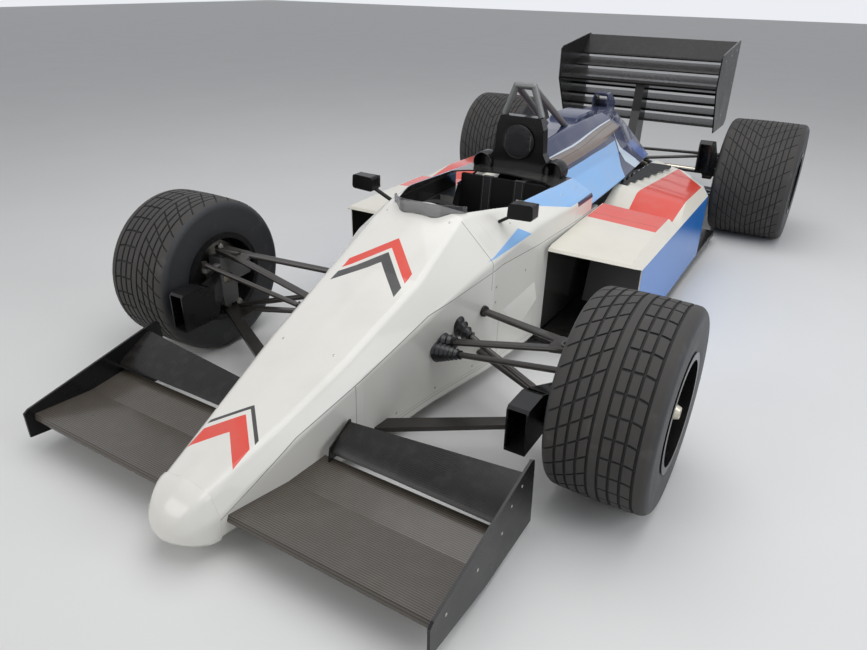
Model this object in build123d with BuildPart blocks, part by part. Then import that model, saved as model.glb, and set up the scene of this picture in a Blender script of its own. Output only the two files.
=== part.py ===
import os
from math import atan2, cos, degrees, pi, radians, sin, sqrt

from build123d import *

os.makedirs("parts", exist_ok=True)

# Driving dimensions, millimetres
# A station is a length along the car, counted backward from the front axle
WHEELBASE = 2756
FRONT_AXLE_Y = -1187.5
FRONT_TRACK = 1788
REAR_TRACK = 1677
FRONT_TYRE_RADIUS = 309
FRONT_TYRE_WIDTH = 300
REAR_TYRE_RADIUS = 335
REAR_TYRE_WIDTH = 413
BEAD_RADIUS = 165
FIT = 0.3
SKIN = 6
TUB_WALL = 16
NOSE_TIP = -965
NOSE_JOINT = -860
TUB_FRONT = -345
SHELL_END = 350
TUB_END = 1240
COVER_START = 1150
COVER_END = 2240
TUB_FLOOR = 50
FLOOR_TOP = 70
FLOOR_UNDER = 38
KINGPIN_X = 750
STEERING_ARM = 104
STEERING_ARM_INSET = 16
RACK_END = (205, 7, 257)
ROD_END = (KINGPIN_X - STEERING_ARM_INSET, -STEERING_ARM, 398)
KINGPIN_TOP = 410
KINGPIN_BOTTOM = 179.5
KINGPIN_GAP = 0.5

FRONT_WHEEL_X = FRONT_TRACK / 2
REAR_WHEEL_X = REAR_TRACK / 2
FRONT_AXLE_Z = FRONT_TYRE_RADIUS
REAR_AXLE_Z = REAR_TYRE_RADIUS
REAR_AXLE_Y = FRONT_AXLE_Y + WHEELBASE
SIDES = (("left", 1), ("right", -1))


# Helpers for placing and drawing
def along(station):
    """Y of a station counted backward from the front axle."""
    return FRONT_AXLE_Y + station


def point(x, station, z):
    """Point from its width, station and height."""
    return (x, along(station), z)


def moved_inward(corners, amount):
    """Corners of a closed outline drawn counter-clockwise, each side moved inward."""
    result = []
    for i, (x, z) in enumerate(corners):
        x0, z0 = corners[i - 1]
        x1, z1 = corners[(i + 1) % len(corners)]
        a = atan2(z - z0, x - x0)
        b = atan2(z1 - z, x1 - x)
        scale = amount / (1 + cos(a - b))
        result.append((x - scale * (sin(a) + sin(b)), z + scale * (cos(a) + cos(b))))
    return result


def mirrored_outline(half):
    """Closed outline from its right half, listed from the bottom up."""
    return half + [(-x, z) for x, z in reversed(half) if x > 0]


def cross_section(station, corners, radii):
    """Face across the car at a station, from corners (x, z) with a radius at each."""
    with BuildSketch(Plane.XZ.offset(-along(station))) as face:
        with BuildLine():
            FilletPolyline(*corners, radius=radii, close=True)
        make_face()
    return face.sketch


def side_slab(x_from, x_to, outline, radius=0):
    """Solid between two lengthwise planes, its outline as (station, height)."""
    with BuildPart() as slab:
        with BuildSketch(Plane.YZ.offset(x_from)):
            with BuildLine():
                FilletPolyline(*[(along(s), z) for s, z in outline], radius=radius, close=True)
            make_face()
        extrude(amount=x_to - x_from)
    return slab.part


def plan_slab(z_from, z_to, outline, radius=0):
    """Solid between two level planes, its outline as (x, station)."""
    with BuildPart() as slab:
        with BuildSketch(Plane.XY.offset(z_from)):
            with BuildLine():
                FilletPolyline(*[(x, along(s)) for x, s in outline], radius=radius, close=True)
            make_face()
        extrude(amount=z_to - z_from)
    return slab.part


def front_slab(station_from, station_to, outline, radius=0):
    """Solid between two planes across the car, its outline as (x, height)."""
    with BuildPart() as slab:
        with BuildSketch(Plane.XZ.offset(-along(station_from))):
            with BuildLine():
                FilletPolyline(*outline, radius=radius, close=True)
            make_face()
        extrude(amount=station_from - station_to)
    return slab.part


def bar(start, end, chord, depth):
    """Round-edged bar between two points, its chord lying along the car."""
    axis = Vector(*end) - Vector(*start)
    direction = axis.normalized()
    lengthwise = Vector(0, 1, 0.001).cross(direction).cross(direction) * -1
    with BuildPart() as solid:
        with BuildSketch(Plane(origin=start, x_dir=lengthwise.normalized(), z_dir=direction)):
            if chord > depth:
                SlotOverall(chord, depth)
            else:
                Circle(chord / 2)
        extrude(amount=axis.length)
    return solid.part


def turned(x, station, z, profile, radius=0):
    """Solid turned about the level crosswise axis; profile as (offset from x, radius)."""
    with BuildPart() as solid:
        with BuildSketch(Plane(origin=(x, along(station), z), x_dir=(1, 0, 0), z_dir=(0, -1, 0))):
            with BuildLine():
                FilletPolyline(*profile, radius=radius, close=True)
            make_face()
        revolve(axis=Axis((x, along(station), z), (1, 0, 0)))
    return solid.part


# Body form
# station, floor z, bottom half-width, crease half-width, crease z, top half-width, top z, crown
BODY = [
    (NOSE_TIP, 96, 22, 30, 116, 20, 138, 4),
    (-930, 70, 72, 80, 126, 56, 176, 8),
    (NOSE_JOINT, 58, 104, 112, 140, 82, 208, 12),
    (-600, 58, 148, 154, 240, 118, 290, 12),
    (TUB_FRONT, TUB_FLOOR, 192, 198, 322, 150, 380, 12),
    (0, TUB_FLOOR, 238, 246, 415, 170, 500, 12),
    (300, TUB_FLOOR, 296, 302, 505, 160, 640, 14),
    (600, TUB_FLOOR, 328, 333, 556, 246, 626, 14),
    (950, TUB_FLOOR, 345, 350, 556, 252, 612, 14),
    (TUB_END, TUB_FLOOR, 345, 350, 550, 250, 600, 14),
]
BODY_RADII = [26, 30, 40]


def body_face(row, inset):
    """Cross-section of the body at one row of the table, moved inward by inset."""
    station, floor, bottom, crease, crease_z, top, top_z, crown = row
    half = [(bottom, floor), (crease, crease_z), (top, top_z), (0, top_z + crown)]
    corners = moved_inward(mirrored_outline(half), inset)
    small = min(1, bottom / 70)
    r = [small * max(radius - inset, 2) for radius in BODY_RADII]
    return cross_section(station, corners, [*r, 150 * small, *reversed(r)])


def body_form(first, last, inset):
    """Body solid from the first to the last row of the table."""
    with BuildPart() as form:
        loft([body_face(row, inset) for row in BODY[first:last]], ruled=True)
    return form.part


BODY_OUTSIDE = body_form(2, 10, 0)
BODY_INSIDE = body_form(2, 10, SKIN)
TUB_INSIDE = body_form(2, 10, TUB_WALL)

# Panel seam along the body side, as (station, height)
SEAM_LINE = [(-860, 131), (-600, 246), (-345, 322), (-40, 412), (SHELL_END, 476), (1300, 476)]
UPPER_OUTLINE = [(s, z + FIT) for s, z in SEAM_LINE] + [(1300, 900), (-900, 900), (-900, 131)]
LOWER_OUTLINE = [(s, z) for s, z in SEAM_LINE] + [(1300, 0), (-900, 0), (-900, 131)]
UPPER = side_slab(-500, 500, UPPER_OUTLINE)
LOWER = side_slab(-500, 500, LOWER_OUTLINE)


def slice_of_car(station_from, station_to):
    """Block the full width of the body between two stations."""
    return front_slab(station_from, station_to, [(-600, 0), (600, 0), (600, 900), (-600, 900)])


# Nose cap: the rounded tip ahead of the wing
with BuildPart() as nose_cap:
    loft([body_face(row, 0) for row in BODY[0:3]], ruled=True)
    loft([body_face(row, 8) for row in BODY[1:3]], ruled=True, mode=Mode.SUBTRACT)
nose_cap.part.label = "nose_cap"
export_step(nose_cap.part, "parts/nose_cap.step")

# Nose shell: the long upper panel from the tip to the windscreen
with BuildPart() as nose_shell:
    add(BODY_OUTSIDE)
    add(BODY_INSIDE, mode=Mode.SUBTRACT)
    add(UPPER, mode=Mode.INTERSECT)
    add(slice_of_car(NOSE_JOINT + FIT, SHELL_END), mode=Mode.INTERSECT)
nose_shell.part.label = "nose_shell"
export_step(nose_shell.part, "parts/nose_shell.step")

# Nose box: the crash structure that carries the front wing
with BuildPart() as nose_box:
    add(BODY_OUTSIDE)
    add(BODY_INSIDE, mode=Mode.SUBTRACT)
    add(LOWER, mode=Mode.INTERSECT)
    add(slice_of_car(NOSE_JOINT + FIT, TUB_FRONT - FIT), mode=Mode.INTERSECT)
nose_box.part.label = "nose_box"
export_step(nose_box.part, "parts/nose_box.step")

# Monocoque: folded tub with the driver's footwell and the fuel bay behind the seat
COCKPIT_BACK = 985
FOOTWELL = TUB_INSIDE & slice_of_car(TUB_FRONT + 20, COCKPIT_BACK)
ROD_HOLE = 60
with BuildPart() as monocoque:
    add(BODY_OUTSIDE)
    add(LOWER, mode=Mode.INTERSECT)
    add(slice_of_car(TUB_FRONT, TUB_END), mode=Mode.INTERSECT)
    add(FOOTWELL, mode=Mode.SUBTRACT)
    for side, sign in SIDES:
        start, end = [point(sign * p[0], *p[1:]) for p in (RACK_END, ROD_END)]
        add(bar(start, end, ROD_HOLE, ROD_HOLE), mode=Mode.SUBTRACT)
monocoque.part.label = "monocoque"
export_step(monocoque.part, "parts/monocoque.step")

# Cockpit surround: upper panel with the driver's opening
OPENING = [(-140, 330), (140, 330), (238, 560), (242, 930), (180, 985), (-180, 985), (-242, 930), (-238, 560)]
with BuildPart() as cockpit_surround:
    add(BODY_OUTSIDE)
    add(BODY_INSIDE, mode=Mode.SUBTRACT)
    add(UPPER, mode=Mode.INTERSECT)
    add(slice_of_car(SHELL_END + FIT, COVER_START), mode=Mode.INTERSECT)
    add(plan_slab(560, 900, OPENING, 40), mode=Mode.SUBTRACT)
cockpit_surround.part.label = "cockpit_surround"
export_step(cockpit_surround.part, "parts/cockpit_surround.step")

# Windscreen: low band that stands round the front of the opening
SCREEN_PLAN = [(160, 420), (-160, 420), (-150, 330), (-72, 258), (72, 258), (150, 330)]
with BuildPart() as windscreen:
    add(plan_slab(600, 684, SCREEN_PLAN, [0, 0, 40, 60, 60, 40]))
    add(plan_slab(590, 690, moved_inward(SCREEN_PLAN, 4), [0, 0, 36, 56, 56, 36]), mode=Mode.SUBTRACT)
    add(side_slab(-200, 200, [(240, 684), (420, 650), (420, 700), (240, 700)]), mode=Mode.SUBTRACT)
    add(slice_of_car(200, SHELL_END - 1), mode=Mode.INTERSECT)
    add(BODY_OUTSIDE, mode=Mode.SUBTRACT)
windscreen.part.label = "windscreen"
export_step(windscreen.part, "parts/windscreen.step")

# Engine cover
# station, foot x, foot z, flank x, flank z, shoulder x, shoulder z, valley x, valley z, spine x, spine z
COVER = [
    (COVER_START, 345, 486, 222, 575, 168, 665, 126, 672, 92, 738),
    (1400, 338, 488, 230, 585, 186, 674, 128, 692, 90, 752),
    (1700, 330, 490, 238, 590, 196, 682, 128, 706, 84, 757),
    (2000, 315, 497, 236, 594, 182, 692, 118, 728, 70, 750),
    (COVER_END, 300, 503, 205, 600, 132, 672, 86, 712, 46, 742),
]
COVER_RADII = [4, 40, 34, 22, 20]


def cover_face(row, inset):
    """Cross-section of the engine cover, open-footed, moved inward by inset."""
    station = row[0]
    half = [(row[i], row[i + 1]) for i in range(1, 11, 2)]
    corners = mirrored_outline(half)
    if inset:
        corners = moved_inward(corners, inset)
        corners[0] = (corners[0][0], corners[0][1] - 3 * inset)
        corners[-1] = (corners[-1][0], corners[-1][1] - 3 * inset)
    r = [COVER_RADII[0], *[max(radius - inset, 4) for radius in COVER_RADII[1:]]]
    r[3] = COVER_RADII[3] + inset
    return cross_section(station, corners, [*r, *reversed(r)])


def cover_form(inset):
    """Engine cover solid, moved inward by inset."""
    with BuildPart() as form:
        loft([cover_face(row, inset) for row in COVER], ruled=True)
    return form.part


COVER_OUTSIDE = cover_form(0)
with BuildPart() as engine_cover:
    add(COVER_OUTSIDE)
    add(cover_form(SKIN), mode=Mode.SUBTRACT)
engine_cover.part.label = "engine_cover"
export_step(engine_cover.part, "parts/engine_cover.step")

# Tail scoop: round-topped intake on top of the cover's tail
with BuildPart() as tail_scoop:
    add(front_slab(2180, 2300, [(-48, 700), (48, 700), (48, 790), (36, 822), (-36, 822), (-48, 790)], 12))
    add(front_slab(2170, 2290, [(-40, 708), (40, 708), (40, 786), (30, 814), (-30, 814), (-40, 786)], 10),
        mode=Mode.SUBTRACT)
    add(side_slab(-60, 60, [(2230, 830), (2310, 830), (2310, 752)]), mode=Mode.SUBTRACT)
    add(COVER_OUTSIDE, mode=Mode.SUBTRACT)
tail_scoop.part.label = "tail_scoop"
export_step(tail_scoop.part, "parts/tail_scoop.step")

# Sidepods
POD_INNER = 354
POD_OUTER = 700
POD_WALL = 46
POD_SKIN = 6
POD_LIP = 700
POD_VALLEY = 405
POD_PLAN = [(POD_INNER, 660), (POD_OUTER - 60, 712), (POD_OUTER, 770), (POD_OUTER, 1990), (597, 2085),
            (487, 2160), (POD_INNER, 2330)]
POD_FRONT_PLAN = [(POD_INNER, 600), (760, 600), (760, 1370), (POD_INNER, 1180)]
POD_TOP_FRONT = [(600, 60), (1400, 60), (1400, 468), (1100, 464), (760, 448), (680, 425), (640, 395), (640, 60)]
POD_TOP_REAR = [(600, 60), (2500, 60), (2500, 430), (2160, 452), (1890, 462), (1660, 472), (1600, 462), (1545, 425),
                (1520, POD_VALLEY), (600, POD_VALLEY)]
CHAMFER_FOOT = 396
CHAMFER_RUN = 48


def pod_form(inset_top, x_out):
    """Pod solid, its top lowered by inset_top, out to the width x_out."""
    with BuildPart() as form:
        add(side_slab(POD_INNER, x_out, [(s, z - inset_top if z > 60 else z) for s, z in POD_TOP_FRONT]))
        add(plan_slab(50, 600, POD_FRONT_PLAN), mode=Mode.INTERSECT)
        add(side_slab(POD_INNER, x_out, [(s, z - inset_top if z > 60 else z) for s, z in POD_TOP_REAR]))
    return form.part


POD_CAVITY_PLAN = [(POD_INNER - 10, 400), (POD_OUTER - POD_WALL, 400), (POD_OUTER - POD_WALL, 1990), (590, 2080),
                   (480, 2152), (POD_INNER - 10, 2330)]
POD_CAVITY = pod_form(POD_SKIN, POD_OUTER - POD_WALL) & plan_slab(0, 600, POD_CAVITY_PLAN)
for side, sign in SIDES:
    with BuildPart() as pod:
        add(pod_form(0, POD_OUTER))
        add(plan_slab(FLOOR_TOP, 600, POD_PLAN), mode=Mode.INTERSECT)
        add(front_slab(500, 2600, [(POD_OUTER + 1, CHAMFER_FOOT), (POD_OUTER + 1, 560),
                                   (POD_OUTER - CHAMFER_RUN, 560), (POD_OUTER - CHAMFER_RUN, CHAMFER_FOOT + 48)]),
            mode=Mode.SUBTRACT)
        add(POD_CAVITY, mode=Mode.SUBTRACT)
        if sign < 0:
            mirror(about=Plane.YZ, mode=Mode.REPLACE)
    pod.part.label = "sidepod_" + side
    export_step(pod.part, "parts/sidepod_" + side + ".step")

# Floor: flat undertray with the rising diffuser behind the rear axle
FLOOR_HALF = [(345, 660), (640, 712), (700, 780), (700, 2440), (600, 2445), (560, 2480), (560, 2900)]
FLOOR_OUTLINE = FLOOR_HALF + [(-x, s) for x, s in reversed(FLOOR_HALF)]
with BuildPart() as floor:
    add(plan_slab(FLOOR_UNDER, FLOOR_TOP - FIT, FLOOR_OUTLINE))
    add(plan_slab(TUB_FLOOR - FIT, FLOOR_TOP, [(346, 600), (346, TUB_END + FIT), (-346, TUB_END + FIT), (-346, 600)]),
        mode=Mode.SUBTRACT)
    for side, sign in SIDES:
        add(side_slab(sign * 346, sign * 560, [(2900, FLOOR_UNDER), (3160, 130), (3160, 140), (2880, 60)]))
floor.part.label = "floor"
export_step(floor.part, "parts/floor.step")

# Front suspension
# name, outer (x, station, z), inner (x, station, z)
UPPER_JOINT = (KINGPIN_X, 0, 424)
LOWER_JOINT = (KINGPIN_X, 0, 170)
LEG_CHORD = 34
LEG_DEPTH = 16
PUSHROD_D = 22
TRACK_ROD_D = 20
WISHBONE_LEGS = [
    (UPPER_JOINT, (230, 27, 289)),
    (UPPER_JOINT, (286, 249, 328)),
    (LOWER_JOINT, (186, -285, 112)),
    (LOWER_JOINT, (276, 242, 168)),
]
PUSHROD = ((688, 6, 196), (246, 116, 321))
PIN_RADIUS = 16

with BuildPart() as front_wishbones:
    for side, sign in SIDES:
        for outer, inner in WISHBONE_LEGS:
            add(bar(point(sign * outer[0], *outer[1:]), point(sign * inner[0], *inner[1:]), LEG_CHORD, LEG_DEPTH))
        for low, high in ((KINGPIN_TOP + KINGPIN_GAP, 434), (160, KINGPIN_BOTTOM - KINGPIN_GAP)):
            with Locations(point(sign * KINGPIN_X, 0, (low + high) / 2)):
                Cylinder(PIN_RADIUS, high - low)
    add(BODY_OUTSIDE, mode=Mode.SUBTRACT)
front_wishbones.part.label = "front_wishbones"
export_step(front_wishbones.part, "parts/front_wishbones.step")

with BuildPart() as front_pushrods:
    for side, sign in SIDES:
        start, end = [point(sign * p[0], *p[1:]) for p in PUSHROD]
        add(bar(start, end, PUSHROD_D, PUSHROD_D))
    add(BODY_OUTSIDE, mode=Mode.SUBTRACT)
    add(front_wishbones.part, mode=Mode.SUBTRACT)
front_pushrods.part.label = "front_pushrods"
export_step(front_pushrods.part, "parts/front_pushrods.step")

# Steering rack with both track rods; it slides across the car
RACK_D = 28
RACK_EYE_D = 28
with BuildPart() as track_rods:
    add(bar(point(-RACK_END[0], *RACK_END[1:]), point(RACK_END[0], *RACK_END[1:]), RACK_D, RACK_D))
    for side, sign in SIDES:
        start, end = [point(sign * p[0], *p[1:]) for p in (RACK_END, ROD_END)]
        with Locations(start):
            Cylinder(RACK_EYE_D / 2, 24)
        add(bar(start, end, TRACK_ROD_D, TRACK_ROD_D))
        with Locations(point(sign * ROD_END[0], ROD_END[1], 396)):
            Cylinder(12, 24)
track_rods.part.label = "track_rods"
export_step(track_rods.part, "parts/track_rods.step")

# Rubber boots where the rods pass through the tub side
BOOT_REACH = 46
with BuildPart() as gaiters:
    for side, sign in SIDES:
        for x, station, z, radius in ((246, 118, 321, 38), (236, 30, 290, 30)):
            with BuildSketch(Plane(origin=point(sign * (x - 40), station, z), z_dir=(sign, 0, 0))):
                Circle(radius)
            extrude(amount=BOOT_REACH + 40, taper=10)
    add(BODY_OUTSIDE, mode=Mode.SUBTRACT)
    for side, sign in SIDES:
        for outer, inner in WISHBONE_LEGS[0:1] + [PUSHROD]:
            chord, depth = (LEG_CHORD, LEG_DEPTH) if inner[2] < 300 else (PUSHROD_D, PUSHROD_D)
            outer_end = point(sign * outer[0], *outer[1:])
            add(bar(outer_end, point(sign * inner[0], *inner[1:]), chord + 2 * FIT, depth + 2 * FIT), mode=Mode.SUBTRACT)
        start, end = [point(sign * p[0], *p[1:]) for p in (RACK_END, ROD_END)]
        add(bar(start, end, ROD_HOLE, ROD_HOLE), mode=Mode.SUBTRACT)
gaiters.part.label = "gaiters"
export_step(gaiters.part, "parts/gaiters.step")

# Wheels
# axle, width centre, axle station, axle height, tyre radius, half-width, wheel face offset
RIM_LIP = 14
RIM_FLANGE = 5
SHOULDER = 14
WHEELS = [
    ("front", FRONT_WHEEL_X, 0, FRONT_AXLE_Z, FRONT_TYRE_RADIUS, FRONT_TYRE_WIDTH / 2, 36),
    ("rear", REAR_WHEEL_X, WHEELBASE, REAR_AXLE_Z, REAR_TYRE_RADIUS, REAR_TYRE_WIDTH / 2, 60),
]


def tyre_profile(radius, half):
    """Tyre section as (offset, radius), its sides between the rim's flanges."""
    side = half - RIM_FLANGE - FIT
    wall = [(side, BEAD_RADIUS), (side, radius - SHOULDER), (side - SHOULDER, radius)]
    return wall + [(-x, r) for x, r in reversed(wall)]


for axle, width_x, station, z, radius, half, face in WHEELS:
    for side, sign in SIDES:
        with BuildPart() as tyre:
            add(turned(sign * width_x, station, z, tyre_profile(radius, half)))
        tyre.part.label = "tyre_" + axle + "_" + side
        export_step(tyre.part, "parts/tyre_" + axle + "_" + side + ".step")

        barrel = [
            (-half, BEAD_RADIUS + RIM_LIP), (RIM_FLANGE - half, BEAD_RADIUS + RIM_LIP),
            (RIM_FLANGE - half, BEAD_RADIUS - FIT), (half - RIM_FLANGE, BEAD_RADIUS - FIT),
            (half - RIM_FLANGE, BEAD_RADIUS + RIM_LIP), (half, BEAD_RADIUS + RIM_LIP),
            (half, BEAD_RADIUS - 8), (face + 14, BEAD_RADIUS - 9), (face + 14, 30), (face, 30),
            (face, BEAD_RADIUS - 9), (-half, BEAD_RADIUS - 8),
        ]
        with BuildPart() as rim:
            add(turned(sign * width_x, station, z, [(sign * x, r) for x, r in barrel]))
            for i in range(6):
                angle = radians(60 * i)
                centre = (sign * width_x + sign * (face - 10), along(station) + 104 * cos(angle), z + 104 * sin(angle))
                with BuildSketch(Plane(origin=centre, x_dir=(0, cos(angle), sin(angle)), z_dir=(sign, 0, 0))):
                    Trapezoid(56, 46, 80, rotation=-90)
                extrude(amount=40, mode=Mode.SUBTRACT)
        rim.part.label = "rim_" + axle + "_" + side
        export_step(rim.part, "parts/rim_" + axle + "_" + side + ".step")

# Hubs: axle stub, brake disc, drive flange and the single wheel nut
# axle, width centre, station, height, disc offset, wheel face offset, stub inner end offset
HUB_BORE = 24.5
NUT_RADIUS = 27
DISC_RADIUS = 138
HUBS = [
    ("front", FRONT_WHEEL_X, 0, FRONT_AXLE_Z, -70, 36, -150, 104),
    ("rear", REAR_WHEEL_X, WHEELBASE, REAR_AXLE_Z, -120, 60, -250, 128),
]
SHAFT_RADIUS = 17
SHAFT_INNER = 118
for axle, width_x, station, z, disc, face, stub, nut_end in HUBS:
    for side, sign in SIDES:
        turned_form = [
            (stub, 0), (stub, HUB_BORE - 0.5), (disc, HUB_BORE - 0.5), (disc, DISC_RADIUS), (disc + 24, DISC_RADIUS),
            (disc + 24, 62), (face - 16, 52), (face - 16, 58), (face - FIT, 58), (face - FIT, 29), (face + 14 + FIT, 29),
            (face + 14 + FIT, NUT_RADIUS + 6), (face + 22, NUT_RADIUS + 6), (face + 24, NUT_RADIUS),
            (nut_end - 12, NUT_RADIUS), (nut_end, NUT_RADIUS - 8), (nut_end, 14), (nut_end - 30, 14), (nut_end - 30, 0),
        ]
        with BuildPart() as hub:
            add(turned(sign * width_x, station, z, [(sign * x, r) for x, r in turned_form]))
            if axle == "rear":
                reach = width_x + stub - SHAFT_INNER
                shaft = [(0, 0), (0, 46), (50, 46), (58, SHAFT_RADIUS), (reach - 70, SHAFT_RADIUS), (reach - 62, 44),
                         (reach - 12, 44), (reach - 4, 24), (reach, 24), (reach, 0)]
                add(turned(sign * SHAFT_INNER, station, z, [(sign * x, r) for x, r in shaft]))
        hub.part.label = "hub_" + axle + "_" + side
        export_step(hub.part, "parts/hub_" + axle + "_" + side + ".step")

# Front uprights with caliper and steering arm, each turning on its kingpin, and their brake ducts
for side, sign in SIDES:
    with BuildPart() as upright:
        add(side_slab(sign * 727, sign * 790, [(-34, 196), (38, 196), (44, 309), (34, 396), (-30, 396), (-44, 309)]))
        with Locations(point(sign * KINGPIN_X, 0, (KINGPIN_TOP + KINGPIN_BOTTOM) / 2)):
            Cylinder(14, KINGPIN_TOP - KINGPIN_BOTTOM)
        add(bar(point(sign * 742, -10, 371), point(sign * ROD_END[0], ROD_END[1], 371), 26, 14))
        with Locations(point(sign * ROD_END[0], ROD_END[1], 375)):
            Cylinder(14, 17)
        add(side_slab(sign * 760, sign * 812, [(36, 270), (150, 275), (150, 345), (36, 350)], 6))
        add(side_slab(sign * 800, sign * 858, [(76, 270), (150, 275), (150, 345), (76, 350)], 6))
        add(turned(sign * 742, 0, FRONT_AXLE_Z, [(0, 0), (0, 42), (sign * 60, 40), (sign * 60, 0)]))
        add(turned(sign * 700, 0, FRONT_AXLE_Z, [(0, 0), (0, HUB_BORE), (sign * 200, HUB_BORE), (sign * 200, 0)]),
            mode=Mode.SUBTRACT)
        add(turned(sign * 820, 0, FRONT_AXLE_Z, [(0, 0), (0, 142), (sign * 32, 142), (sign * 32, 0)]), mode=Mode.SUBTRACT)
    upright.part.label = "upright_front_" + side
    export_step(upright.part, "parts/upright_front_" + side + ".step")

    duct_plan = [(sign * 643, -300), (sign * 707, -300), (sign * 707, -150), (sign * 760, -36), (sign * 728, -36),
                 (sign * 643, -150)]
    duct_side = [(-300, 215), (-150, 215), (-30, 250), (-30, 340), (-150, 340), (-200, 360), (-290, 360), (-300, 350)]
    with BuildPart() as brake_duct:
        add(plan_slab(205, 362, duct_plan) & side_slab(sign * 600, sign * 800, duct_side))
        add(plan_slab(222, 352, [(sign * 648, -305), (sign * 702, -305), (sign * 702, -160), (sign * 648, -160)]),
            mode=Mode.SUBTRACT)
        add(upright.part, mode=Mode.SUBTRACT)
    brake_duct.part.label = "brake_duct_front_" + side
    export_step(brake_duct.part, "parts/brake_duct_front_" + side + ".step")

# Front wing
WING_TIP = 744
PLANE_SECTION = [(-842, 116), (-836, 134), (-790, 130), (-640, 118), (-505, 132), (-505, 126), (-640, 96),
                 (-790, 96), (-836, 104)]
FLAP_SECTION = [(-550, 168), (-544, 180), (-390, 222), (-388, 218), (-470, 188), (-540, 160)]
UNDER_FLAP_SECTION = [(-500, 142), (-494, 150), (-420, 176), (-418, 172), (-495, 136)]
with BuildPart() as front_wing:
    for side, sign in SIDES:
        add(side_slab(sign * 100, sign * WING_TIP, PLANE_SECTION))
    add(BODY_OUTSIDE, mode=Mode.SUBTRACT)
    add(side_slab(-104, 104, [(-870, 40), (-480, 40), (-480, 300), (-870, 300)]), mode=Mode.SUBTRACT)
front_wing.part.label = "front_wing"
export_step(front_wing.part, "parts/front_wing.step")

with BuildPart() as front_flaps:
    for side, sign in SIDES:
        add(side_slab(sign * 120, sign * WING_TIP, FLAP_SECTION))
        add(side_slab(sign * 120, sign * WING_TIP, UNDER_FLAP_SECTION))
    add(BODY_OUTSIDE, mode=Mode.SUBTRACT)
front_flaps.part.label = "front_flaps"
export_step(front_flaps.part, "parts/front_flaps.step")

ENDPLATE_OUTLINE = [(-868, 60), (-868, 148), (-852, 158), (-352, 258), (-334, 246), (-322, 24), (-600, 24)]
with BuildPart() as front_endplates:
    for side, sign in SIDES:
        add(side_slab(sign * (WING_TIP + FIT), sign * (WING_TIP + 8), ENDPLATE_OUTLINE))
front_endplates.part.label = "front_endplates"
export_step(front_endplates.part, "parts/front_endplates.step")

# Cockpit: dash bulkhead, seat, harness, steering wheel
COLUMN_RAKE = 25
WHEEL_STATION = 470
WHEEL_HEIGHT = 520
COLUMN_AXIS = (0, cos(radians(COLUMN_RAKE)), sin(radians(COLUMN_RAKE)))


def on_column(distance, offset=0):
    """Point on the steering column's line, forward of the wheel centre by distance."""
    return point(offset, WHEEL_STATION - distance * COLUMN_AXIS[1], WHEEL_HEIGHT - distance * COLUMN_AXIS[2])


with BuildPart() as steering_wheel:
    with BuildSketch(Plane(origin=on_column(10), z_dir=COLUMN_AXIS, x_dir=(1, 0, 0))):
        Circle(132)
        Circle(108, mode=Mode.SUBTRACT)
        Rectangle(226, 34)
        with Locations((0, -62)):
            Rectangle(30, 100)
        Circle(34)
    extrude(amount=20)
    add(bar(on_column(0), on_column(300), 20, 20))
steering_wheel.part.label = "steering_wheel"
export_step(steering_wheel.part, "parts/steering_wheel.step")

with BuildPart() as dashboard:
    add(body_form(2, 10, TUB_WALL + FIT))
    add(side_slab(-400, 400, [(340, 430), (348, 430), (348, 640), (340, 640)]), mode=Mode.INTERSECT)
    add(bar(on_column(0), on_column(300), 21, 21), mode=Mode.SUBTRACT)
dashboard.part.label = "dashboard"
export_step(dashboard.part, "parts/dashboard.step")

SEAT_FOOT = TUB_FLOOR + TUB_WALL + FIT
SEAT_SIDE = [(560, SEAT_FOOT), (900, SEAT_FOOT), (982, 180), (982, 600), (962, 600), (930, 260), (880, 130), (640, 112),
             (560, 170)]
with BuildPart() as seat:
    add(side_slab(-210, 210, SEAT_SIDE))
    for side, sign in SIDES:
        add(side_slab(sign * 210, sign * 240, [(560, SEAT_FOOT), (982, SEAT_FOOT), (982, 540), (850, 300), (560, 240)]))
seat.part.label = "seat"
export_step(seat.part, "parts/seat.step")

STRAP_CENTRES = (-78, 78)
with BuildPart() as harness:
    for x in STRAP_CENTRES:
        add(side_slab(x - 24, x + 24, [(961.7, 597), (929.7, 260), (925.7, 260), (957.7, 597)]))
        add(side_slab(x - 24, x + 24, [(957.7, 597), (957.7, 604), (981, 604), (981, 600.3), (961.7, 600.3)]))
harness.part.label = "harness"
export_step(harness.part, "parts/harness.step")

# Headrest tower and its round pad, roll hoop
TOWER_FRONT = 1100
with BuildPart() as headrest:
    add(front_slab(TOWER_FRONT, COVER_START - FIT, [
        (150, 600), (150, 640), (118, 700), (112, 800), (96, 850), (-96, 850), (-112, 800), (-118, 700), (-150, 640),
        (-150, 600)], 8))
    add(BODY_OUTSIDE, mode=Mode.SUBTRACT)
headrest.part.label = "headrest"
export_step(headrest.part, "parts/headrest.step")

with BuildPart() as headrest_pad:
    with BuildSketch(Plane.XZ.offset(-along(TOWER_FRONT - FIT))):
        with Locations((0, 742)):
            Circle(75)
    extrude(amount=24)
    fillet(headrest_pad.edges().group_by(Axis.Y)[0], 10)
headrest_pad.part.label = "headrest_pad"
export_step(headrest_pad.part, "parts/headrest_pad.step")

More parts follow.
